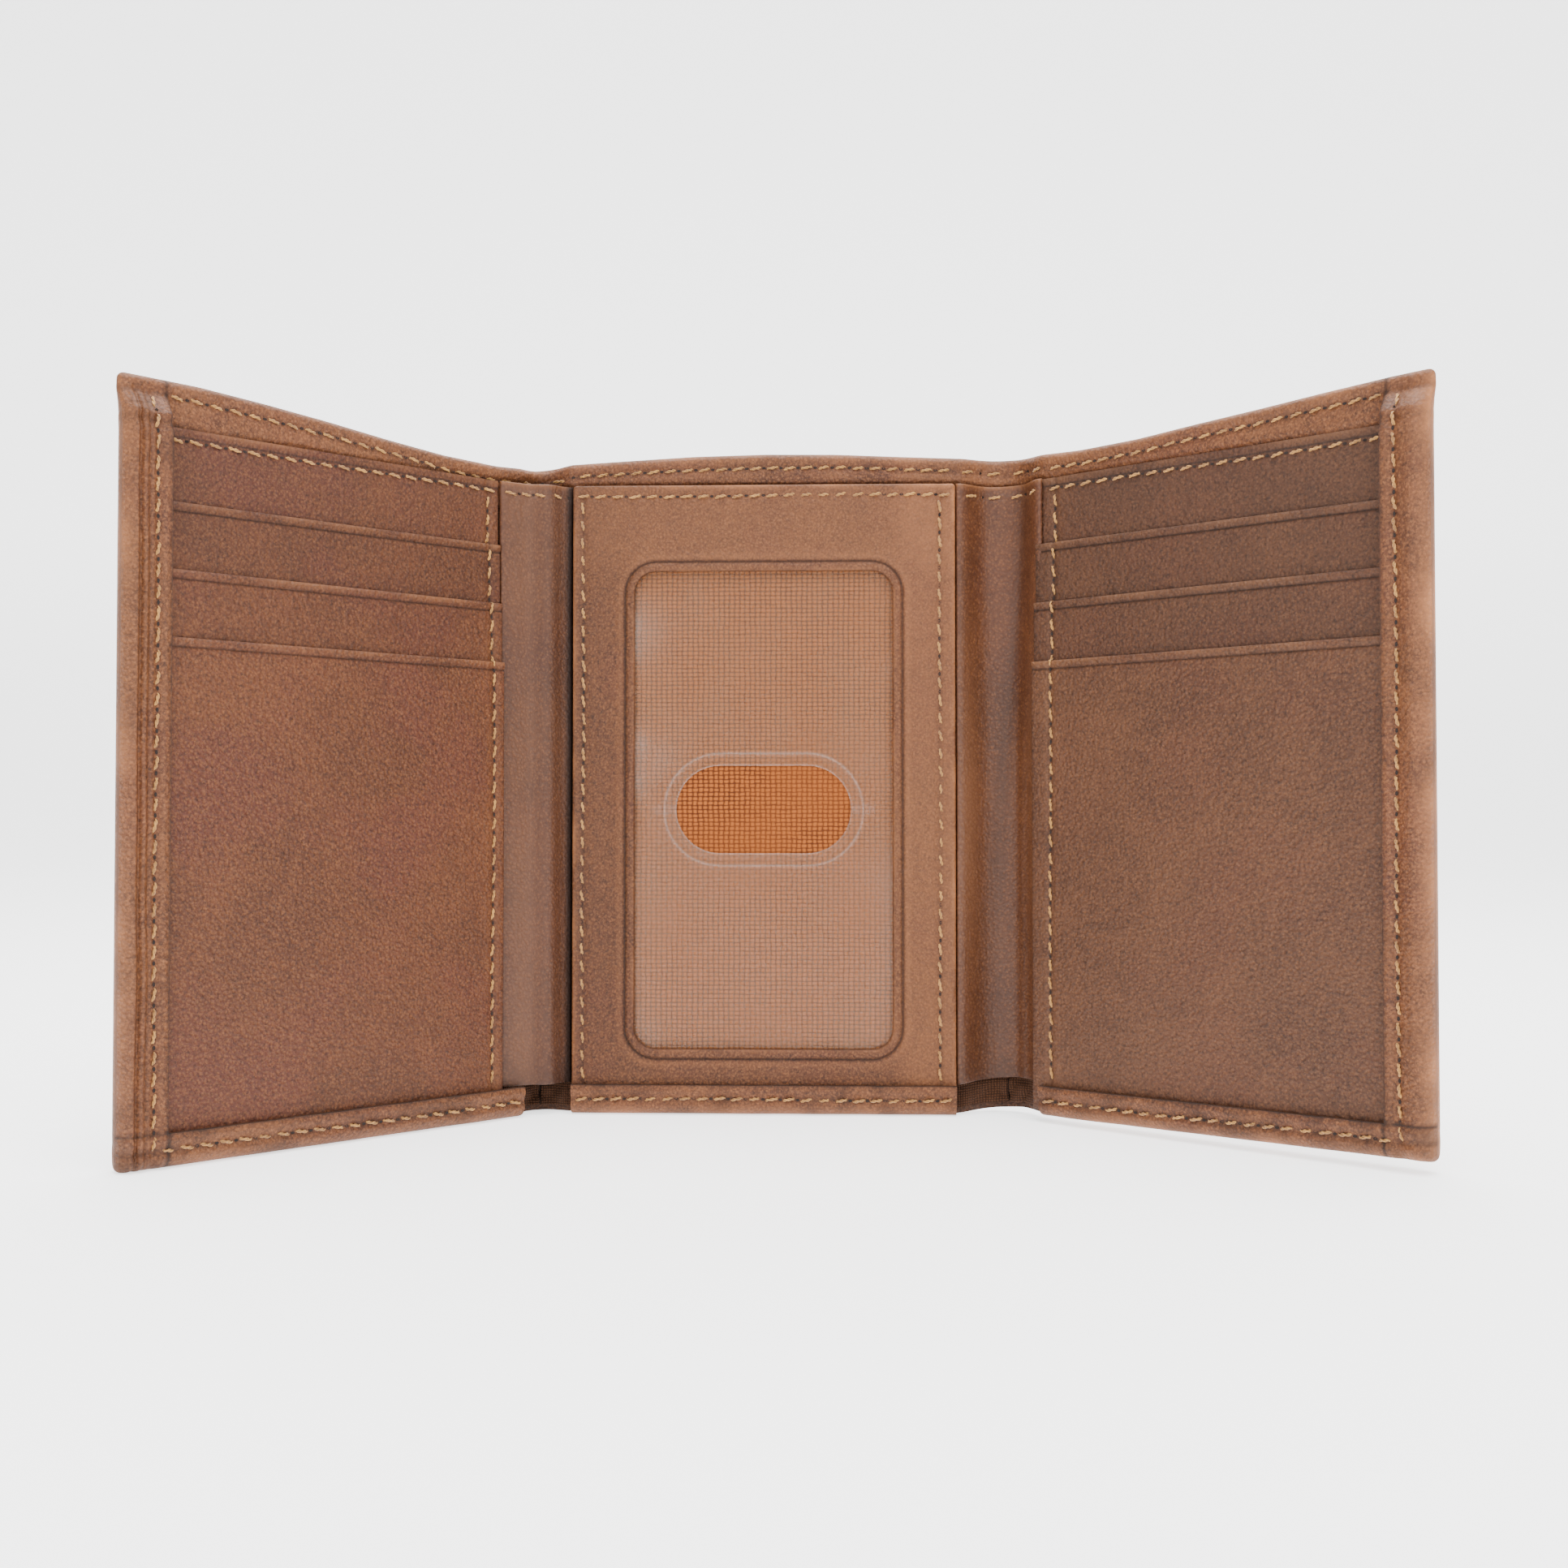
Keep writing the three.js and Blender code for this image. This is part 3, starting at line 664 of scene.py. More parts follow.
for side in (left, right):
    length = wingLength[side.name]
    cols = lines(0.5, length, 1.1, hem["edge"], [(length - hem["outer"] - 0.6, length, 0.22)])
    wing = hemmedShell(f"shell_{side.name}_wing_leather", cols, sagged(placeWing(side), side, side.chord), True,
        True, shellMasks(0.55 if side.sign < 0 else 1.0), side.sign < 0,
        leafDepth(side, sideDrop(side, side.chord)), lambda s, z: 0 * s, (0,),
        (side.sign, side.sign * (spineStart + side.chord)))
    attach(wing, side.name + "_wing")
    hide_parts(f"shell_{side.name}_wing")

spineBow = dict(left=2.7, right=4.3)  # how far back the shell bows out between its two folds


def blendHalf(obj, side, innerHalf):  # fold pieces span one fold each and meet mid spine; this only bakes the piece's transform into its mesh
    mid, spine = side.chord / 2, side.name + "_spine"
    if innerHalf:
        pair, ends = ("centre", spine), (-0.5, mid * 0.86)
    else:
        pair, ends = (spine, side.name + "_wing"), (mid * 1.14, side.chord + 0.5)
    points = [side.place(s, midPlane, height / 2) for s in ends]
    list(pair)
    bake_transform(obj)


def bow(side, s, amount):
    return -amount * np.sin(np.pi * np.clip(s / side.chord, 0, 1)) ** 2


for side in (left, right):
    amount = spineBow[side.name]
    for innerHalf in (True, False):
        half = "inner" if innerHalf else "outer"
        ends = (-0.5, side.chord / 2) if innerHalf else (side.chord / 2, side.chord + 0.5)
        place = sagged(lambda s, u, z, side=side, amount=amount: side.place(s, u + bow(side, s, amount), z), side)
        crease = lambda s, z: wave(s, z, 4.0, 9.0, 0.5) * ease((14 - z) / 14)
        piece = hemmedShell(f"shell_{side.name}_fold_{half}", lines(*ends, 0.45), place, False, False,
            shellMasks(0.7), side.sign < 0, leafDepth(None, sideDrop(side)), crease, (0, -1),
            (side.sign, side.sign * spineStart))
        blendHalf(piece, side, innerHalf)
        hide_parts(f"shell_{side.name}_spine")
print("shell built")


def lipRelief(top, bead=0.24, crease=0.16):
    def relief(s, z):
        d = top - z
        return bead * ridge(d, 0.55, 0.4) - crease * ridge(d, 1.3, 0.2)
    return relief


def lipMasks(top, seams=(), darker=0.0, wearAmount=0.55):
    def wear(s, z, d):
        drop = top - z
        patch = np.clip(wave(s, z, 12.0 + top, 7.0, 1.4) + 0.45, 0, 1)
        along = sum((ridge(s, at, 1.4) for at in seams), 0 * s)
        return wearAmount * np.exp(-(drop / 0.7) ** 2) * patch + 0.22 * along * patch

    # painted shade in the crease below the lip, along the seams and near the piece's edges below its lip; darker
    # adds a fixed darkening for each piece
    def dark(s, z, d):
        drop = top - z
        return (darker + 0.6 * ridge(drop, 1.3, 0.16) + sum((0.3 * ridge(s, at, 0.4) for at in seams), 0 * s)
            + 0.35 * np.exp(-((d) / 0.25) ** 2) * (drop > 1))
    return dict(wear=wear, dark=dark)


# how much darker each piece is
shade = dict(left=dict(panel=0.14, upper=0.17, middle=0.10, lower=0.0),
    right=dict(panel=0.28, upper=0.28, middle=0.24, lower=0.0))
clothPieces = []


def addCloth(piece, box, under):
    clothPieces.append((piece, box["s1"] - box["s0"], box["z1"] - box["z0"], "stretched", [under]))


foldCloth = 10.4  # width of each lining half that bends at a fold
for side in (left, right):
    place = placeWing(side)
    material = leftLeather if side.sign < 0 else rightLeather
    body = side.name + "_wing"
    mirror = side.sign < 0
    seamS = (span(f"seam_{side.name}_stack", side)["s0"] + span(f"seam_{side.name}_stack", side)["s1"]) / 2
    reach = 0.0 if side.sign < 0 else 1.5  # the right stack laps over the fold line
    sway = wingSway[side.name]
    for level in ("panel", "upper", "middle", "lower"):
        isPanel = level == "panel"
        node = f"inner_panel_{side.name}" if isPanel else f"card_pocket_{side.name}_{level}"
        box = span(node, side)
        top, lowU, highU = box["z1"], box["u0"], box["u1"]
        lip = lipRelief(top, 0.08 if isPanel else 0.2, 0.0 if isPanel else 0.2)
        cols = lines(box["s0"] - reach, box["s1"], 1.0, 0.22, [(seamS - 1.5, seamS + 1.5, 0.3)])
        rows = lines(box["z0"], top, 1.3, 0.22, [(top - 2.2, top, 0.12)])
        dip = lambda s, z: -0.16 * ridge(s, seamS, 0.6) - (0.16 * ridge(z, innerSeam, 0.6) if isPanel else 0)
        front = lambda s, z, highU=highU, lip=lip, dip=dip: highU + lip(s, z) + dip(s, z) + 0.25 * sway(s, z)
        back = lambda s, z, lowU=lowU: lowU + 0.25 * sway(s, z)
        piece = slab(node + "_leather", cols, rows, front, back, place, material, "inner_leather", 0.24,
            lipMasks(top, [seamS], shade[side.name][level]), mirror=mirror)
        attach(piece, body)
        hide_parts(node)
    for level in ("upper", "middle"):
        node = f"pocket_tail_{side.name}_{level}"
        box = span(node, side)
        front = lambda s, z, u=box["u1"]: u - 0.02 + 0.25 * sway(s, z)
        back = lambda s, z, u=box["u0"]: u + 0.02 + 0.25 * sway(s, z)
        piece = boxSlab(node + "_cloth", box, 2.0, 0.1,
            front, back, place, liningCloth, "lining_cloth", 0.12, mirror=mirror)
        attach(piece, body)
        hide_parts(node)
        addCloth(piece, box, f"card_pocket_{side.name}_{level}")
    node = f"lining_{side.name}_wing"
    box = span(node, side)
    lap = foldCloth - side.chord / 2
    piece = slab(node + "_cloth", lines(lap + 0.3, box["s1"], 2.0, 0.1), lines(box["z0"], box["z1"], 2.0, 0.1),
        *liningFaces(box), sagged(place, side, side.chord), liningCloth, "lining_cloth", 0.1,
        mirror=mirror)
    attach(piece, body)
    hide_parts(node)
    clothPieces.append((piece, box["s1"] - lap - 0.3, box["z1"] - box["z0"], "stretched",
        [f"shell_{side.name}_wing"]))
    amount = spineBow[side.name]
    for innerHalf in (True, False):
        ends = (-lap, side.chord / 2) if innerHalf else (side.chord / 2, side.chord + lap)
        base = span(f"lining_{side.name}_spine")
        slack = lambda s: np.clip(np.sin(np.pi * np.clip((s + 0.2) / (side.chord + 0.4), 0, 1)), 0, 1)
        crumple = lambda s, z: (wave(s, z, 21.0, 2.8, 1.7) * ease((9 - z) / 7)
            + wave(s, z, 22.0, 8.0, 0.5)) * slack(s)
        face = lambda s, z, add: (1.0 + add * (1 - 0.4 * ease((z - 98) / 3)) + 0.25 - 0.42 * ease((z - 98) / 3)
            + bow(side, s, amount) + np.abs(crumple(s, z)) * 1.2 * (1 - ease((z - 94) / 4)))
        piece = slab(f"lining_{side.name}_fold_{'inner' if innerHalf else 'outer'}", lines(*ends, 0.4),
            lines(1.0, base["z1"], 1.0, 0.1, [(1, 13, 0.4)]),
            lambda s, z: face(s, z, 0.2), lambda s, z: face(s, z, 0.0), sagged(side.place, side),
            liningCloth, "lining_cloth", 0.1, mirror=mirror)
        blendHalf(piece, side, innerHalf)
        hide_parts(f"lining_{side.name}_spine")
        clothPieces.append((piece, foldCloth, base["z1"] - 1.0, "laid", [f"shell_{side.name}_spine"]))
print("stacks built")


def pleat(z):  # the right gusset's fold line runs from the top right to the bottom middle
    return 0.42 + 0.26 * ease((z - 40) / 60)


def gussetDepth(side):
    far = side.chord + (3.9 if side.sign < 0 else 0.0)

    def shape(s, z):
        t = np.clip(s / far, 0, 1)
        if side.sign < 0:  # full and rounded, tucked steeply in beside the ID pocket
            crown = 3.5 + 0.3 * np.cos(z / 34.0)
            full = (2.1 + (crown - 2.1) * (1 - (1 - np.clip(t / 0.34, 0, 1)) ** 2)
                - 1.35 * np.clip((t - 0.34) / 0.66, 0, 1) ** 2)
            return full + wave(s, z, 31.0, 22.0, 0.3) * np.sin(np.pi * t)
        # sinks in until it lies on the lining
        back = bow(side, s, spineBow["right"]) + 1.6 + 0.4 * np.sin(np.pi * t)
        lips = 1.7 * (1 - ease(t / 0.34)) + 0.5 * ease((t - 0.72) / 0.28)
        return (back + lips - 0.15 * ridge(t, pleat(z), 0.06)
            + 0.35 * ridge(t, pleat(z) + 0.2, 0.1) * ease((t - 0.6) / 0.1))
    return shape, far


for side in (left, right):
    shape, far = gussetDepth(side)
    box = span(f"gusset_{side.name}")
    top = box["z1"]
    for innerHalf in (True, False):
        ends = (-0.42 if side.sign > 0 else -0.25, side.chord / 2) if innerHalf else (side.chord / 2, far)

        # painted shade: the left gusset darkens into the slit beside the ID pocket and towards it, the right one
        # along its pleat and near the ID pocket, both towards the bottom
        def dark(s, z, d, side=side, far=far):
            t = s / far
            if side.sign < 0:
                return (0.10 + 0.8 * ease((0.10 - t) / 0.10) + 0.22 * ease((0.5 - t) / 0.4)
                    + 0.3 * ease((12 - z) / 9))
            return (0.35 * ridge(t, pleat(z), 0.09) * ease((z - 15) / 50) + 0.3 * ease((10 - z) / 8)
                + 0.15 * ridge(t, 0.3, 0.2) * ease((60 - z) / 30))

        # painted highlight: a soft sheen band on the left gusset and two sheen patches on the right one
        def tint(s, z, d, side=side, far=far):
            t = s / far
            if side.sign < 0:
                return 0.3 * ridge(t, 0.74, 0.2) * (0.7 + 0.3 * np.cos(z / 21))
            return 0.5 * ridge(t, 0.12, 0.1) * ridge(z, 48, 24) + 0.3 * ridge(t, 0.85, 0.1) * ridge(z, 55, 30)
        piece = slab(f"gusset_{side.name}_{'inner' if innerHalf else 'outer'}_leather", lines(*ends, 0.35),
            lines(box["z0"], top, 1.2, 0.2, [(top - 2.6, top, 0.3)]),
            lambda s, z: shape(s, z) + 0.5 - 0.15 * ridge(z, innerSeam, 0.5), shape, side.place,
            gussetLeather, "gusset_leather", 0.2,
            dict(dark=dark, tint=tint, wear=lambda s, z, d: 0.6 * np.exp(-((top - z) / 0.5) ** 2)),
            mirror=side.sign < 0, joined=-1 if innerHalf else 0, hide=(1, 300 * side.sign))
        blendHalf(piece, side, innerHalf)
        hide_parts(f"gusset_{side.name}")
print("gussets built")

panelBox = span("inner_panel_centre")
piece = boxSlab("inner_panel_centre_leather", panelBox, 1.6, 0.2,
    lambda s, z: panelBox["u1"] + 0 * s, lambda s, z: panelBox["u0"] + 0 * s, placeCentre, frameLeather,
    "inner_leather", 0.22)
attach(piece, "centre")
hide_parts("inner_panel_centre")

canvasBox = span("id_backing_canvas")
piece = boxSlab("id_canvas", canvasBox, 1.2, 0.15,
    lambda s, z: canvasBox["u1"] - 0.05 + wave(s, z, 41.0, 12.0, 0.05), lambda s, z: canvasBox["u0"]
    + 0 * s, placeCentre, canvasCloth, "canvas", 0.15)
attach(piece, "centre")
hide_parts("id_backing_canvas")
addCloth(piece, canvasBox, "inner_panel_centre")

liningBox = span("lining_centre")
liningBox["s0"] = foldCloth - left.chord / 2 + 0.3 - spineStart
liningBox["s1"] = spineStart - foldCloth + right.chord / 2 - 0.3
piece = boxSlab("lining_centre_cloth", liningBox, 2.0, 0.1,
    *liningFaces(liningBox), sagged(placeCentre), liningCloth, "lining_cloth", 0.1)
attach(piece, "centre")
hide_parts("lining_centre")
addCloth(piece, liningBox, "shell_centre")


def holeOf(box, margin):  # extent of the opening in a CAD plate
    s, z = box["s"], box["z"]
    across = (s > box["s0"] + margin) & (s < box["s1"] - margin)
    inside = across & (z > box["z0"] + margin) & (z < box["z1"] - margin)
    s, z = s[inside], z[inside]
    return (s.min() + s.max()) / 2, (z.min() + z.max()) / 2, (s.max() - s.min()) / 2, (z.max() - z.min()) / 2


def plateLoops(box, hole, holeRadius, near, far, outerRadius, between=8):
    cx, cz, w, h = hole
    ox, oz = (box["s0"] + box["s1"]) / 2, (box["z0"] + box["z1"]) / 2
    halfWide, halfTall = (box["s1"] - box["s0"]) / 2, (box["z1"] - box["z0"]) / 2
    loops = [(loopPoints(cx, cz, w + d, h + d, holeRadius + d), d, 99.0) for d in near]
    outers = [(loopPoints(ox, oz, halfWide - d, halfTall - d, max(outerRadius - d, 0.02)), 99.0, d) for d in far]
    a, b = loops[-1][0], outers[0][0]
    loops += [(a + (b - a) * k / (between + 1), 99.0, 99.0) for k in range(1, between + 1)]
    return loops + outers


frameBox, filmBox = span("id_frame"), span("id_window_film")
window, thumb = holeOf(frameBox, 4), holeOf(filmBox, 6)
seamLeft, seamRight = ((span(n)["s0"] + span(n)["s1"]) / 2 for n in ("seam_id_left", "seam_id_right"))
near = [0, 0.02, 0.08, 0.18, 0.32, 0.5, 0.7, 0.9, 1.1, 1.25, 1.4, 1.55, 1.7, 1.85, 2.0, 2.2, 2.5, 3.0]
far = [4.4, 3.6, 3.0, 2.6, 2.2, 1.8, 1.4, 1.0, 0.7, 0.45, 0.3, 0.16, 0.06, 0.02, 0]


def frameFront(s, z, dHole, dOut):
    tooled = -0.30 * ridge(dHole, 1.62, 0.2) + 0.14 * ridge(dHole, 0.7, 0.5) + 0.08 * ridge(dHole, 2.4, 0.5)
    sewn = -0.17 * (ridge(s, seamLeft, 0.6) + ridge(s, seamRight, 0.6) + ridge(z, innerSeam, 0.6))
    return frameBox["u1"] + tooled + sewn + wave(s, z, 51.0, 20.0, 0.22) + 0.1 * ridge(dOut, 0.9, 0.6)


def frameWear(s, z, dHole, dOut):
    patch = np.clip(wave(s, z, 52.0, 8.0, 1.4) + 0.5, 0, 1)
    worn = 0.22 * ease((s - 19) / 6) + 0.14 * ease((z - 86) / 6)
    return (worn + 0.3 * np.exp(-(dHole / 0.5) ** 2) * patch + 0.75 * np.exp(-(dOut / 0.55) ** 2) * patch
        + 0.16 * ridge(dHole, 2.5, 0.5))


# painted shade in the tooled groove, along the side seams and at the window's edge; the frame is also darker
# towards its left side
def frameDark(s, z, dHole, dOut):
    return (0.14 * ease((-16 - s) / 12) + 0.8 * ridge(dHole, 1.62, 0.22)
        + 0.3 * (ridge(s, seamLeft, 0.4) + ridge(s, seamRight, 0.4)) + 0.55 * np.exp(-(dHole / 0.1) ** 2))


frameBack = lambda s, z: frameBox["u0"] + wave(s, z, 51.0, 20.0, 0.05)
piece = ringSlab("id_frame_leather", plateLoops(frameBox, window, 3.5, near, far, 0.6), frameFront, frameBack,
    placeCentre, frameLeather, "inner_leather", dict(wear=frameWear, dark=frameDark))
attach(piece, "centre")
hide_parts("id_frame")

nearFilm = [0, 0.03, 0.1, 0.22, 0.4, 0.8, 1.2, 1.5, 1.7, 1.85, 2.0, 2.15, 2.3, 2.5, 2.9, 3.6]


def filmFront(s, z, dHole, dOut):
    ripple = wave(s, z, 61.0, 13.0, 0.13) + wave(s, z, 62.0, 5.0, 0.03)
    return filmBox["u1"] + 0.02 + 0.16 * ridge(dHole, 2.0, 0.22) + 0.05 * ridge(dHole, 0.3, 0.3) + ripple


def filmPaintedGlare(s, z, dHole, dOut):  # painted glare where the film bows up and catches the light, along its left edge and, fainter, along its right edge
    bright = ridge(z, 79, 6) + 0.9 * ridge(z, 59, 8) + 0.2
    lift = bright * np.exp(-np.clip(s - (window[0] - window[2]), 0, 99) / 3.0)
    patch = np.clip(wave(s, z, 64.0, 11.0, 1.6) + 0.35, 0, 1)
    return lift * patch + 0.25 * np.exp(-np.clip((window[0] + window[2]) - s, 0, 99) / 2.2) * patch


def filmRimHighlight(s, z, dHole, dOut):  # painted highlight on the welded rib around the thumb hole and on the hole's own edge
    return 0.7 * ridge(dHole, 2.0, 0.16) + 0.9 * np.exp(-(dHole / 0.14) ** 2)


filmBack = lambda s, z: filmBox["u0"] + wave(s, z, 61.0, 13.0, 0.1)
filmLoops = plateLoops(filmBox, thumb, thumb[3], nearFilm, [1.0, 0.4, 0.1, 0], 0.5, between=26)
piece = ringSlab("id_film", filmLoops, filmFront, filmBack, placeCentre, filmMaterial, "clear_film",
    dict(tint=filmPaintedGlare, wear=filmRimHighlight))
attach(piece, "centre")
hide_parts("id_window_film")
print("centre built")

stitch = dict(pitch=2.8, length=2.2, ply=0.145, twist=0.115, turns=1.3, slant=0.40, rise=0.10, hole=0.28)
random.seed(11)


def stitchRow(path, place, rowLength, out=1):
    # path(t) gives (s, z, depth) at t millimetres along the row; every stitch is two plies twisted together
    points, faces, rest, kinds = [], [], [], []
    count = max(1, int(rowLength / stitch["pitch"]))
    pitch = rowLength / count
    for k in range(count):
        mid = (k + 0.5) * pitch
        length = stitch["length"] * random.uniform(0.92, 1.06)
        lean = stitch["slant"] * random.uniform(0.7, 1.3)
        s0, z0, d0 = path(mid - length / 2)
        s1, z1, d1 = path(mid + length / 2)
        along = np.array([s1 - s0, z1 - z0])
        along = along / max(np.linalg.norm(along), 1e-6)
        across = np.array([-along[1], along[0]])
        jitter = random.uniform(-0.05, 0.05)
        phase = random.uniform(0, 6)
        steps, ringSize = 11, 6
        for ply in (0, 1):
            first = len(points)
            for i in range(steps):
                t = i / (steps - 1)
                a = (t - 0.5) * length
                angle = phase + ply * math.pi + stitch["turns"] * 2 * math.pi * t
                taper = 1 - 0.35 * abs(2 * t - 1) ** 3
                side = lean * (t - 0.5) * 2 * 0.5 + jitter + stitch["twist"] * math.cos(angle)
                lift = stitch["rise"] + stitch["twist"] * math.sin(angle) - 0.55 * abs(2 * t - 1) ** 4
                s, z, d = path(mid + a)
                cs, cz = s + across[0] * side, z + across[1] * side
                for r in range(ringSize):
                    q = 2 * math.pi * r / ringSize
                    o1, o2 = math.cos(q) * stitch["ply"] * taper, math.sin(q) * stitch["ply"] * taper
                    points.append((cs + across[0] * o1, d + out * (lift + o2), cz + across[1] * o1))
                    rest.append((cs + across[0] * o1, cz + across[1] * o1, o2 + 3 * k))
            for i in range(steps - 1):
                for r in range(ringSize):
                    a, b = first + i * ringSize + r, first + i * ringSize + (r + 1) % ringSize
                    faces.append((a, b, b + ringSize, a + ringSize))
                    kinds.append(0)
            for end in (0, steps - 1):
                ring = [first + end * ringSize + r for r in range(ringSize)]
                faces.append(tuple(ring[::-1] if end == 0 else ring))
                kinds.append(0)
        # after each stitch a small dark disc of painted shade sits in the needle hole
        s, z, d = path(mid + pitch / 2 if k < count - 1 else mid - pitch / 2)
        first = len(points)
        points.append((s, d - out * 0.05, z))
        rest.append((s, z, 0))
        for r in range(8):
            q = 2 * math.pi * r / 8
            o1, o2 = math.cos(q) * stitch["hole"] * 1.15, math.sin(q) * stitch["hole"] * 0.75
            ps, pz = s + along[0] * o1 + across[0] * o2, z + along[1] * o1 + across[1] * o2
            points.append((ps, d + out * 0.035, pz))
            rest.append((ps, pz, 0))
        for r in range(8):
            faces.append((first, first + 1 + r, first + 1 + (r + 1) % 8))
            kinds.append(1)
    p = np.array(points)
    return dict(points=place(p[:, 0], p[:, 1], p[:, 2]), faces=faces, rest=rest, kinds=kinds)


def stitchPiece(name, rows):
    points = np.concatenate([r["points"] for r in rows])
    faces, rest, kinds, shift = [], [], [], 0
    for r in rows:
        faces += [tuple(v + shift for v in f) for f in r["faces"]]
        rest += r["rest"]
        kinds += r["kinds"]
        shift += len(r["points"])
    return meshPiece(name, points, faces, [threadMaterial, holeShadeMaterial], "thread", rest, indices=kinds)


def rowAcross(s0, s1, z, depth, wobble=0.12):
    return lambda t: (s0 + t, z + wobble * math.sin((s0 + t) / 9.0 + z), float(depth(s0 + t, z)))


def rowUp(s, z0, z1, depth, wobble=0.12):
    return lambda t: (s + wobble * math.sin((z0 + t) / 11.0 + s), z0 + t, float(depth(s, z0 + t)))


def addSeam(node, body, place, rows):
    made = stitchPiece(node + "_thread", [stitchRow(path, place, length, out) for path, length, out in rows])
    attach(made, body)
    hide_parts(node)


leafSeam = hem["leaf"] - 0.2
frameSeam = frameBox["u1"] - 0.12
stackSink = 0.10


def onBack(s, z):
    return 0.0


def onTopHem(drop):
    return lambda s, z: float(topFront(drop(s), height - topSeam)) - 0.12


def swayAt(sway, s, z):
    return 0.25 * float(sway(np.array([s]), np.array([z]))[0])


def acrossRows(a, b, z, front, back=None):  # the same thread shows on the front and, where open, on the back
    return [(rowAcross(a, b, z, f), b - a, out) for f, out in ((front, 1), (back, -1)) if f]


def upRows(s, box, front, back=None):
    z0, z1 = box["z0"], box["z1"]
    return [(rowUp(s, z0, z1, f), z1 - z0, out) for f, out in ((front, 1), (back, -1)) if f]


c0, c1 = shellCentre["s0"] + 0.3, shellCentre["s1"] - 0.3
addSeam("seam_centre_shell_top", "centre", sagged(placeCentre),
    acrossRows(c0, c1, topSeam, onTopHem(centreDrop), onBack))
addSeam("seam_centre_bottom", "centre", placeCentre, acrossRows(c0, c1, lowSeam, lambda s, z: leafSeam, onBack))
addSeam("seam_centre_inner_top", "centre", placeCentre, acrossRows(c0, c1, innerSeam, lambda s, z: frameSeam))
for node, at in (("seam_id_left", seamLeft), ("seam_id_right", seamRight)):
    addSeam(node, "centre", placeCentre, upRows(at, span(node), lambda s, z: frameSeam))

for side in (left, right):
    n, body, sway = side.name, side.name + "_wing", wingSway[side.name]
    place, placeSagged = placeWing(side), sagged(placeWing(side), side, side.chord)
    runs = dict(
        shell_top=(placeSagged, topSeam, onTopHem(sideDrop(side, side.chord)), onBack),
        inner_top=(place, innerSeam, lambda s, z: 1.90 + swayAt(sway, s, z), None),
        bottom=(place, lowSeam, lambda s, z: leafSeam, onBack))
    for run, (put, z, front, back) in runs.items():
        box = span(f"seam_{n}_{run}", side)
        addSeam(f"seam_{n}_{run}", body, put, acrossRows(box["s0"], box["s1"], z, front, back))

    def outerDepth(s, z):
        rise = float(ease((height - z - 1.2) / 5.5))
        return hem["topLeaf"] + (hem["leaf"] - hem["topLeaf"]) * rise - 0.22

    pockets = [span(f"card_pocket_{n}_{level}", side) for level in ("upper", "middle", "lower")]

    def stackDepth(s, z):
        u = 2.0
        for pocket in pockets:
            u = pocket["u1"] if z < pocket["z1"] else u
        return u - stackSink + swayAt(sway, s, z)

    box = span(f"seam_{n}_outer", side)
    addSeam(f"seam_{n}_outer", body, placeSagged, upRows((box["s0"] + box["s1"]) / 2, box, outerDepth, onBack))
    box = span(f"seam_{n}_stack", side)
    addSeam(f"seam_{n}_stack", body, place, upRows((box["s0"] + box["s1"]) / 2, box, stackDepth))

    shape, far = gussetDepth(side)
    mid = side.chord / 2
    gussetFront = lambda s, z: float(shape(np.array([s]), np.array([z]))[0]) + 0.4
    spineBack = lambda s, z: float(bow(side, np.array([s]), spineBow[n])[0])
    spineFront = lambda s, z: onTopHem(sideDrop(side))(s, z) + spineBack(s, z)
    runs = dict(
        gusset_top=(side.place, innerSeam, 0.6, far - 0.4, [(gussetFront, 1)]),
        spine_top=(sagged(side.place, side), topSeam, -0.2, side.chord + 0.2, [(spineFront, 1), (spineBack, -1)]))
    for run, (put, z, low, high, faces) in runs.items():
        for half, a, b in (("inner", low, mid), ("outer", mid, high)):
            rows = [stitchRow(rowAcross(a, b, z, depth, 0.0), put, b - a, out) for depth, out in faces]
            made = stitchPiece(f"seam_{n}_{run}_{half}_thread", rows)
            blendHalf(made, side, half == "inner")
            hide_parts(f"seam_{n}_{run}")
print("stitches sewn")

for piece, wide, tall, held, on in clothPieces:
    wide * mm
    tall * mm

studio = dict(world=0.8, glow=1.5, floor=(0.92, 0.92, 0.92, 1), target=(0, 0, 0.05))
lights = dict(  # place, size and power of each soft light
    key=((0.15, -0.55, 1.05), 0.9, 19.0),
    top=((0.0, 0.12, 0.95), 0.6, 11.0),
    left_fill=((-0.8, -0.75, 0.45), 0.7, 2.5),
    right_fill=((0.9, -0.6, 0.4), 0.7, 2.5))


def stageMaterial():
    mat = bpy.data.materials.new("paper")
    mat.use_nodes = True
    mat.node_tree.nodes.clear()
    wire = Wire(mat.node_tree)
    at = wire.node("ShaderNodeTexCoord", out=3)
    tone = at.cloud(40.0, 2.0).mix(studio["floor"], (0.94, 0.94, 0.94, 1))
    endMaterial(wire, {"Base Color": tone, "Roughness": 0.9, "Emission Color": (1, 1, 1, 1),
        "Emission Strength": studio["glow"]})
    return mat


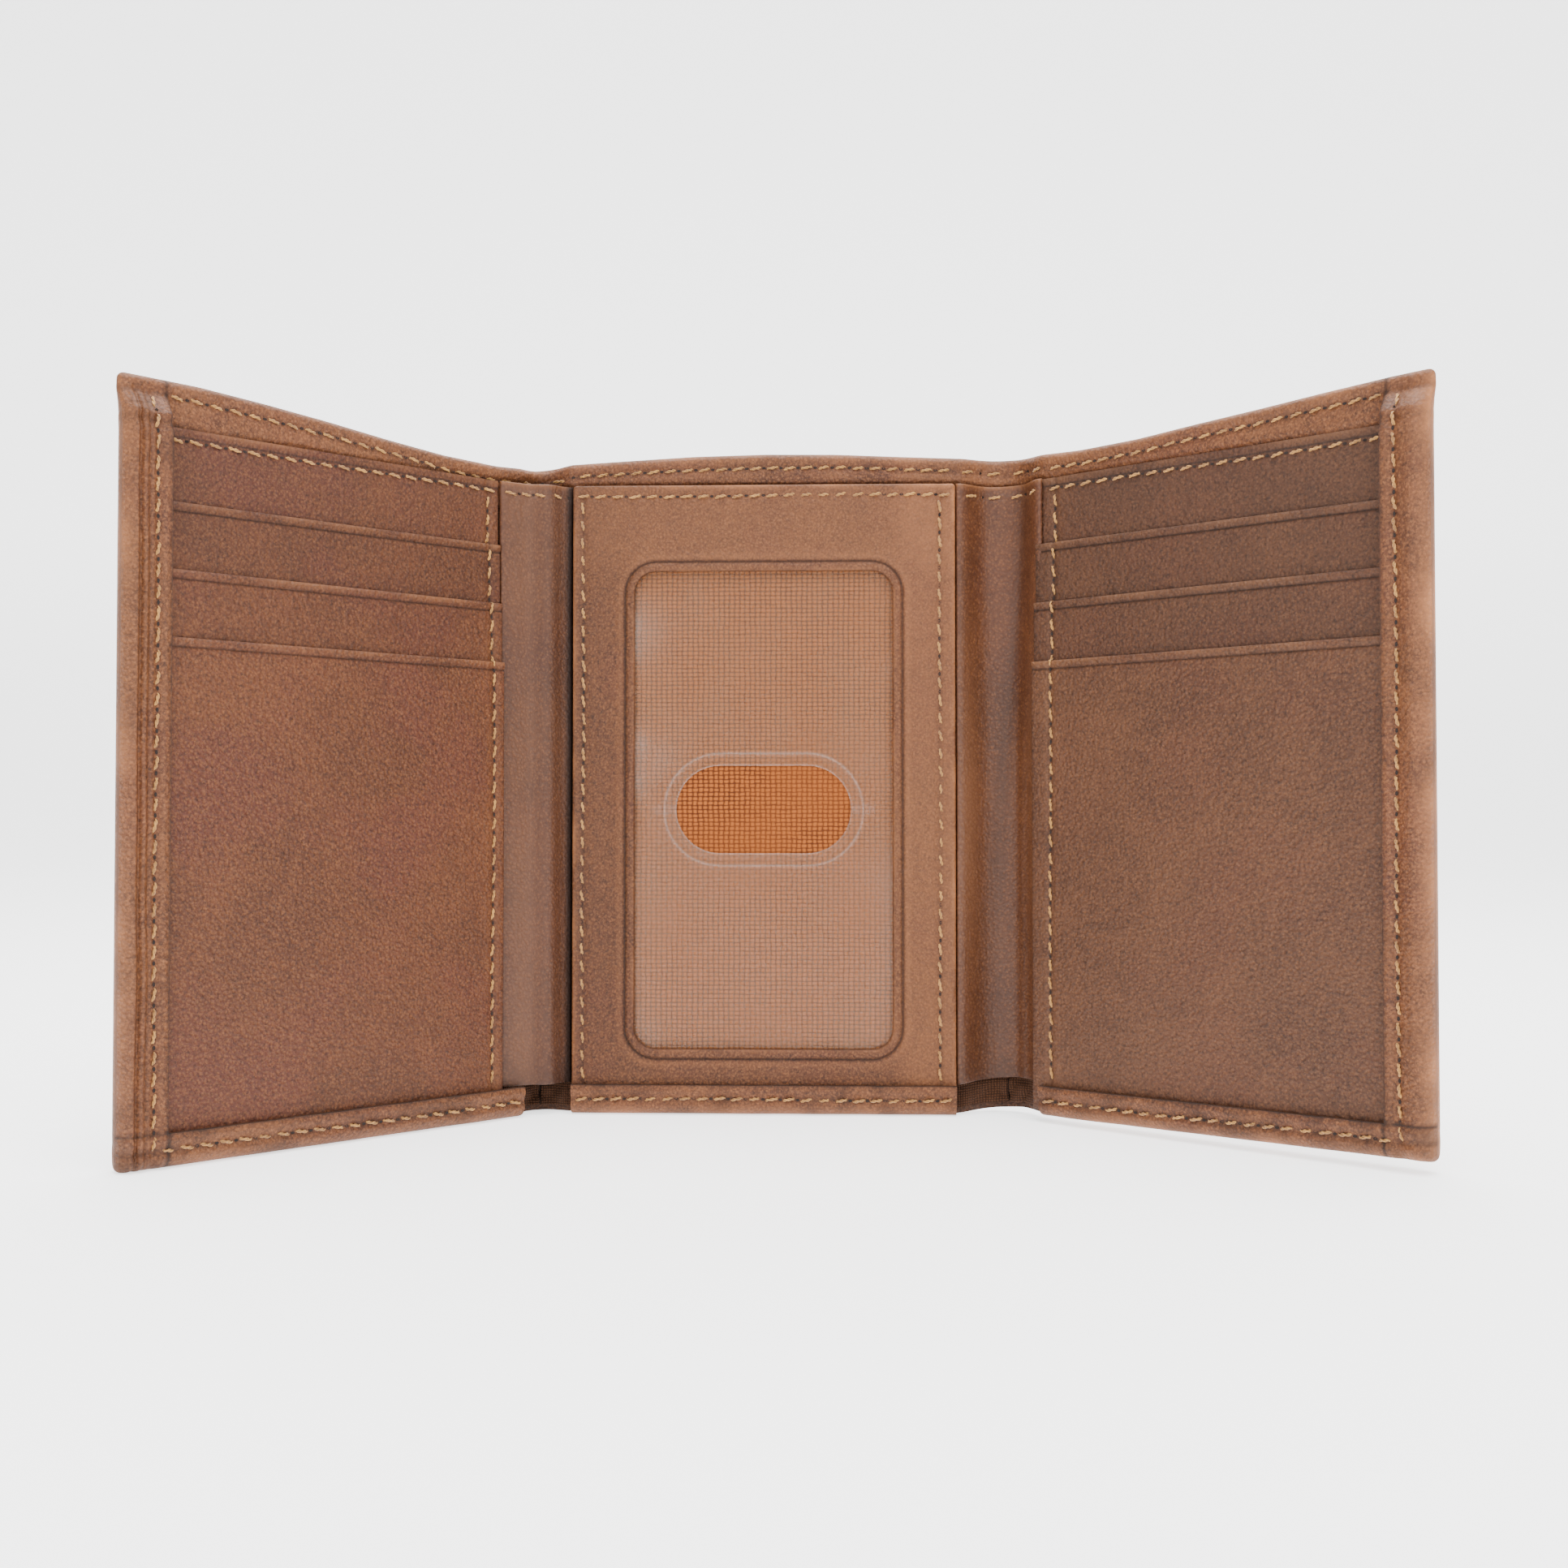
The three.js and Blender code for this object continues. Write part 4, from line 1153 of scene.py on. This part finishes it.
def addFloor():  # level floor with a sweep up behind the wallet
    z, bend, back, reach, tall = cadLow.z, 0.35, 1.1, 6.0, 2.2
    turns = np.linspace(0, math.pi / 2, 16)
    curve = [(back + bend * math.sin(a), bend * (1 - math.cos(a))) for a in turns]
    profile = [(-reach, 0.0)] + curve + [(back + bend, tall)]
    points = [(x, y, z + h) for x in (-reach, reach) for y, h in profile]
    n = len(profile)
    mesh = bpy.data.meshes.new("floor")
    mesh.from_pydata(points, [], [(i, i + n, i + n + 1, i + 1) for i in range(n - 1)])
    mesh.materials.append(stageMaterial())
    mesh.polygons.foreach_set("use_smooth", [True] * (n - 1))
    obj = bpy.data.objects.new("floor", mesh)
    bpy.context.scene.collection.objects.link(obj)


def addLight(name, at, size, power):
    data = bpy.data.lights.new(name, "AREA")
    data.shape, data.size, data.energy = "SQUARE", size, power
    obj = bpy.data.objects.new(name, data)
    obj.location = at
    obj.rotation_euler = (Vector(studio["target"]) - Vector(at)).to_track_quat("-Z", "Y").to_euler()
    bpy.context.scene.collection.objects.link(obj)


addFloor()
for name, (at, size, power) in lights.items():
    addLight(name, at, size, power)
world = bpy.data.worlds.new("studio")
world.use_nodes = True
world.node_tree.nodes["Background"].inputs[0].default_value = (1, 1, 1, 1)
world.node_tree.nodes["Background"].inputs[1].default_value = studio["world"]
bpy.context.scene.world = world

# from the fold-to-fold middle, millimetres and radians
view = dict(across=12.64, ahead=276.14, up=47.31, pitch=0.023, yaw=0.034, lens=38.55)
camera = bpy.data.cameras.new("camera")
camera.sensor_width, camera.lens = 36, view["lens"]
camera.clip_start, camera.clip_end = 0.01, 20
cameraObject = bpy.data.objects.new("camera", camera)
cameraObject.location = ((middle + view["across"]) * mm, (left.inner[1] - view["ahead"]) * mm, view["up"] * mm)
look = Vector((-math.sin(view["yaw"]) * math.cos(view["pitch"]), math.cos(view["yaw"]) * math.cos(view["pitch"]),
    math.sin(view["pitch"])))
cameraObject.rotation_euler = look.to_track_quat("-Z", "Y").to_euler()
bpy.context.scene.collection.objects.link(cameraObject)
bpy.context.scene.camera = cameraObject
print("stage set")
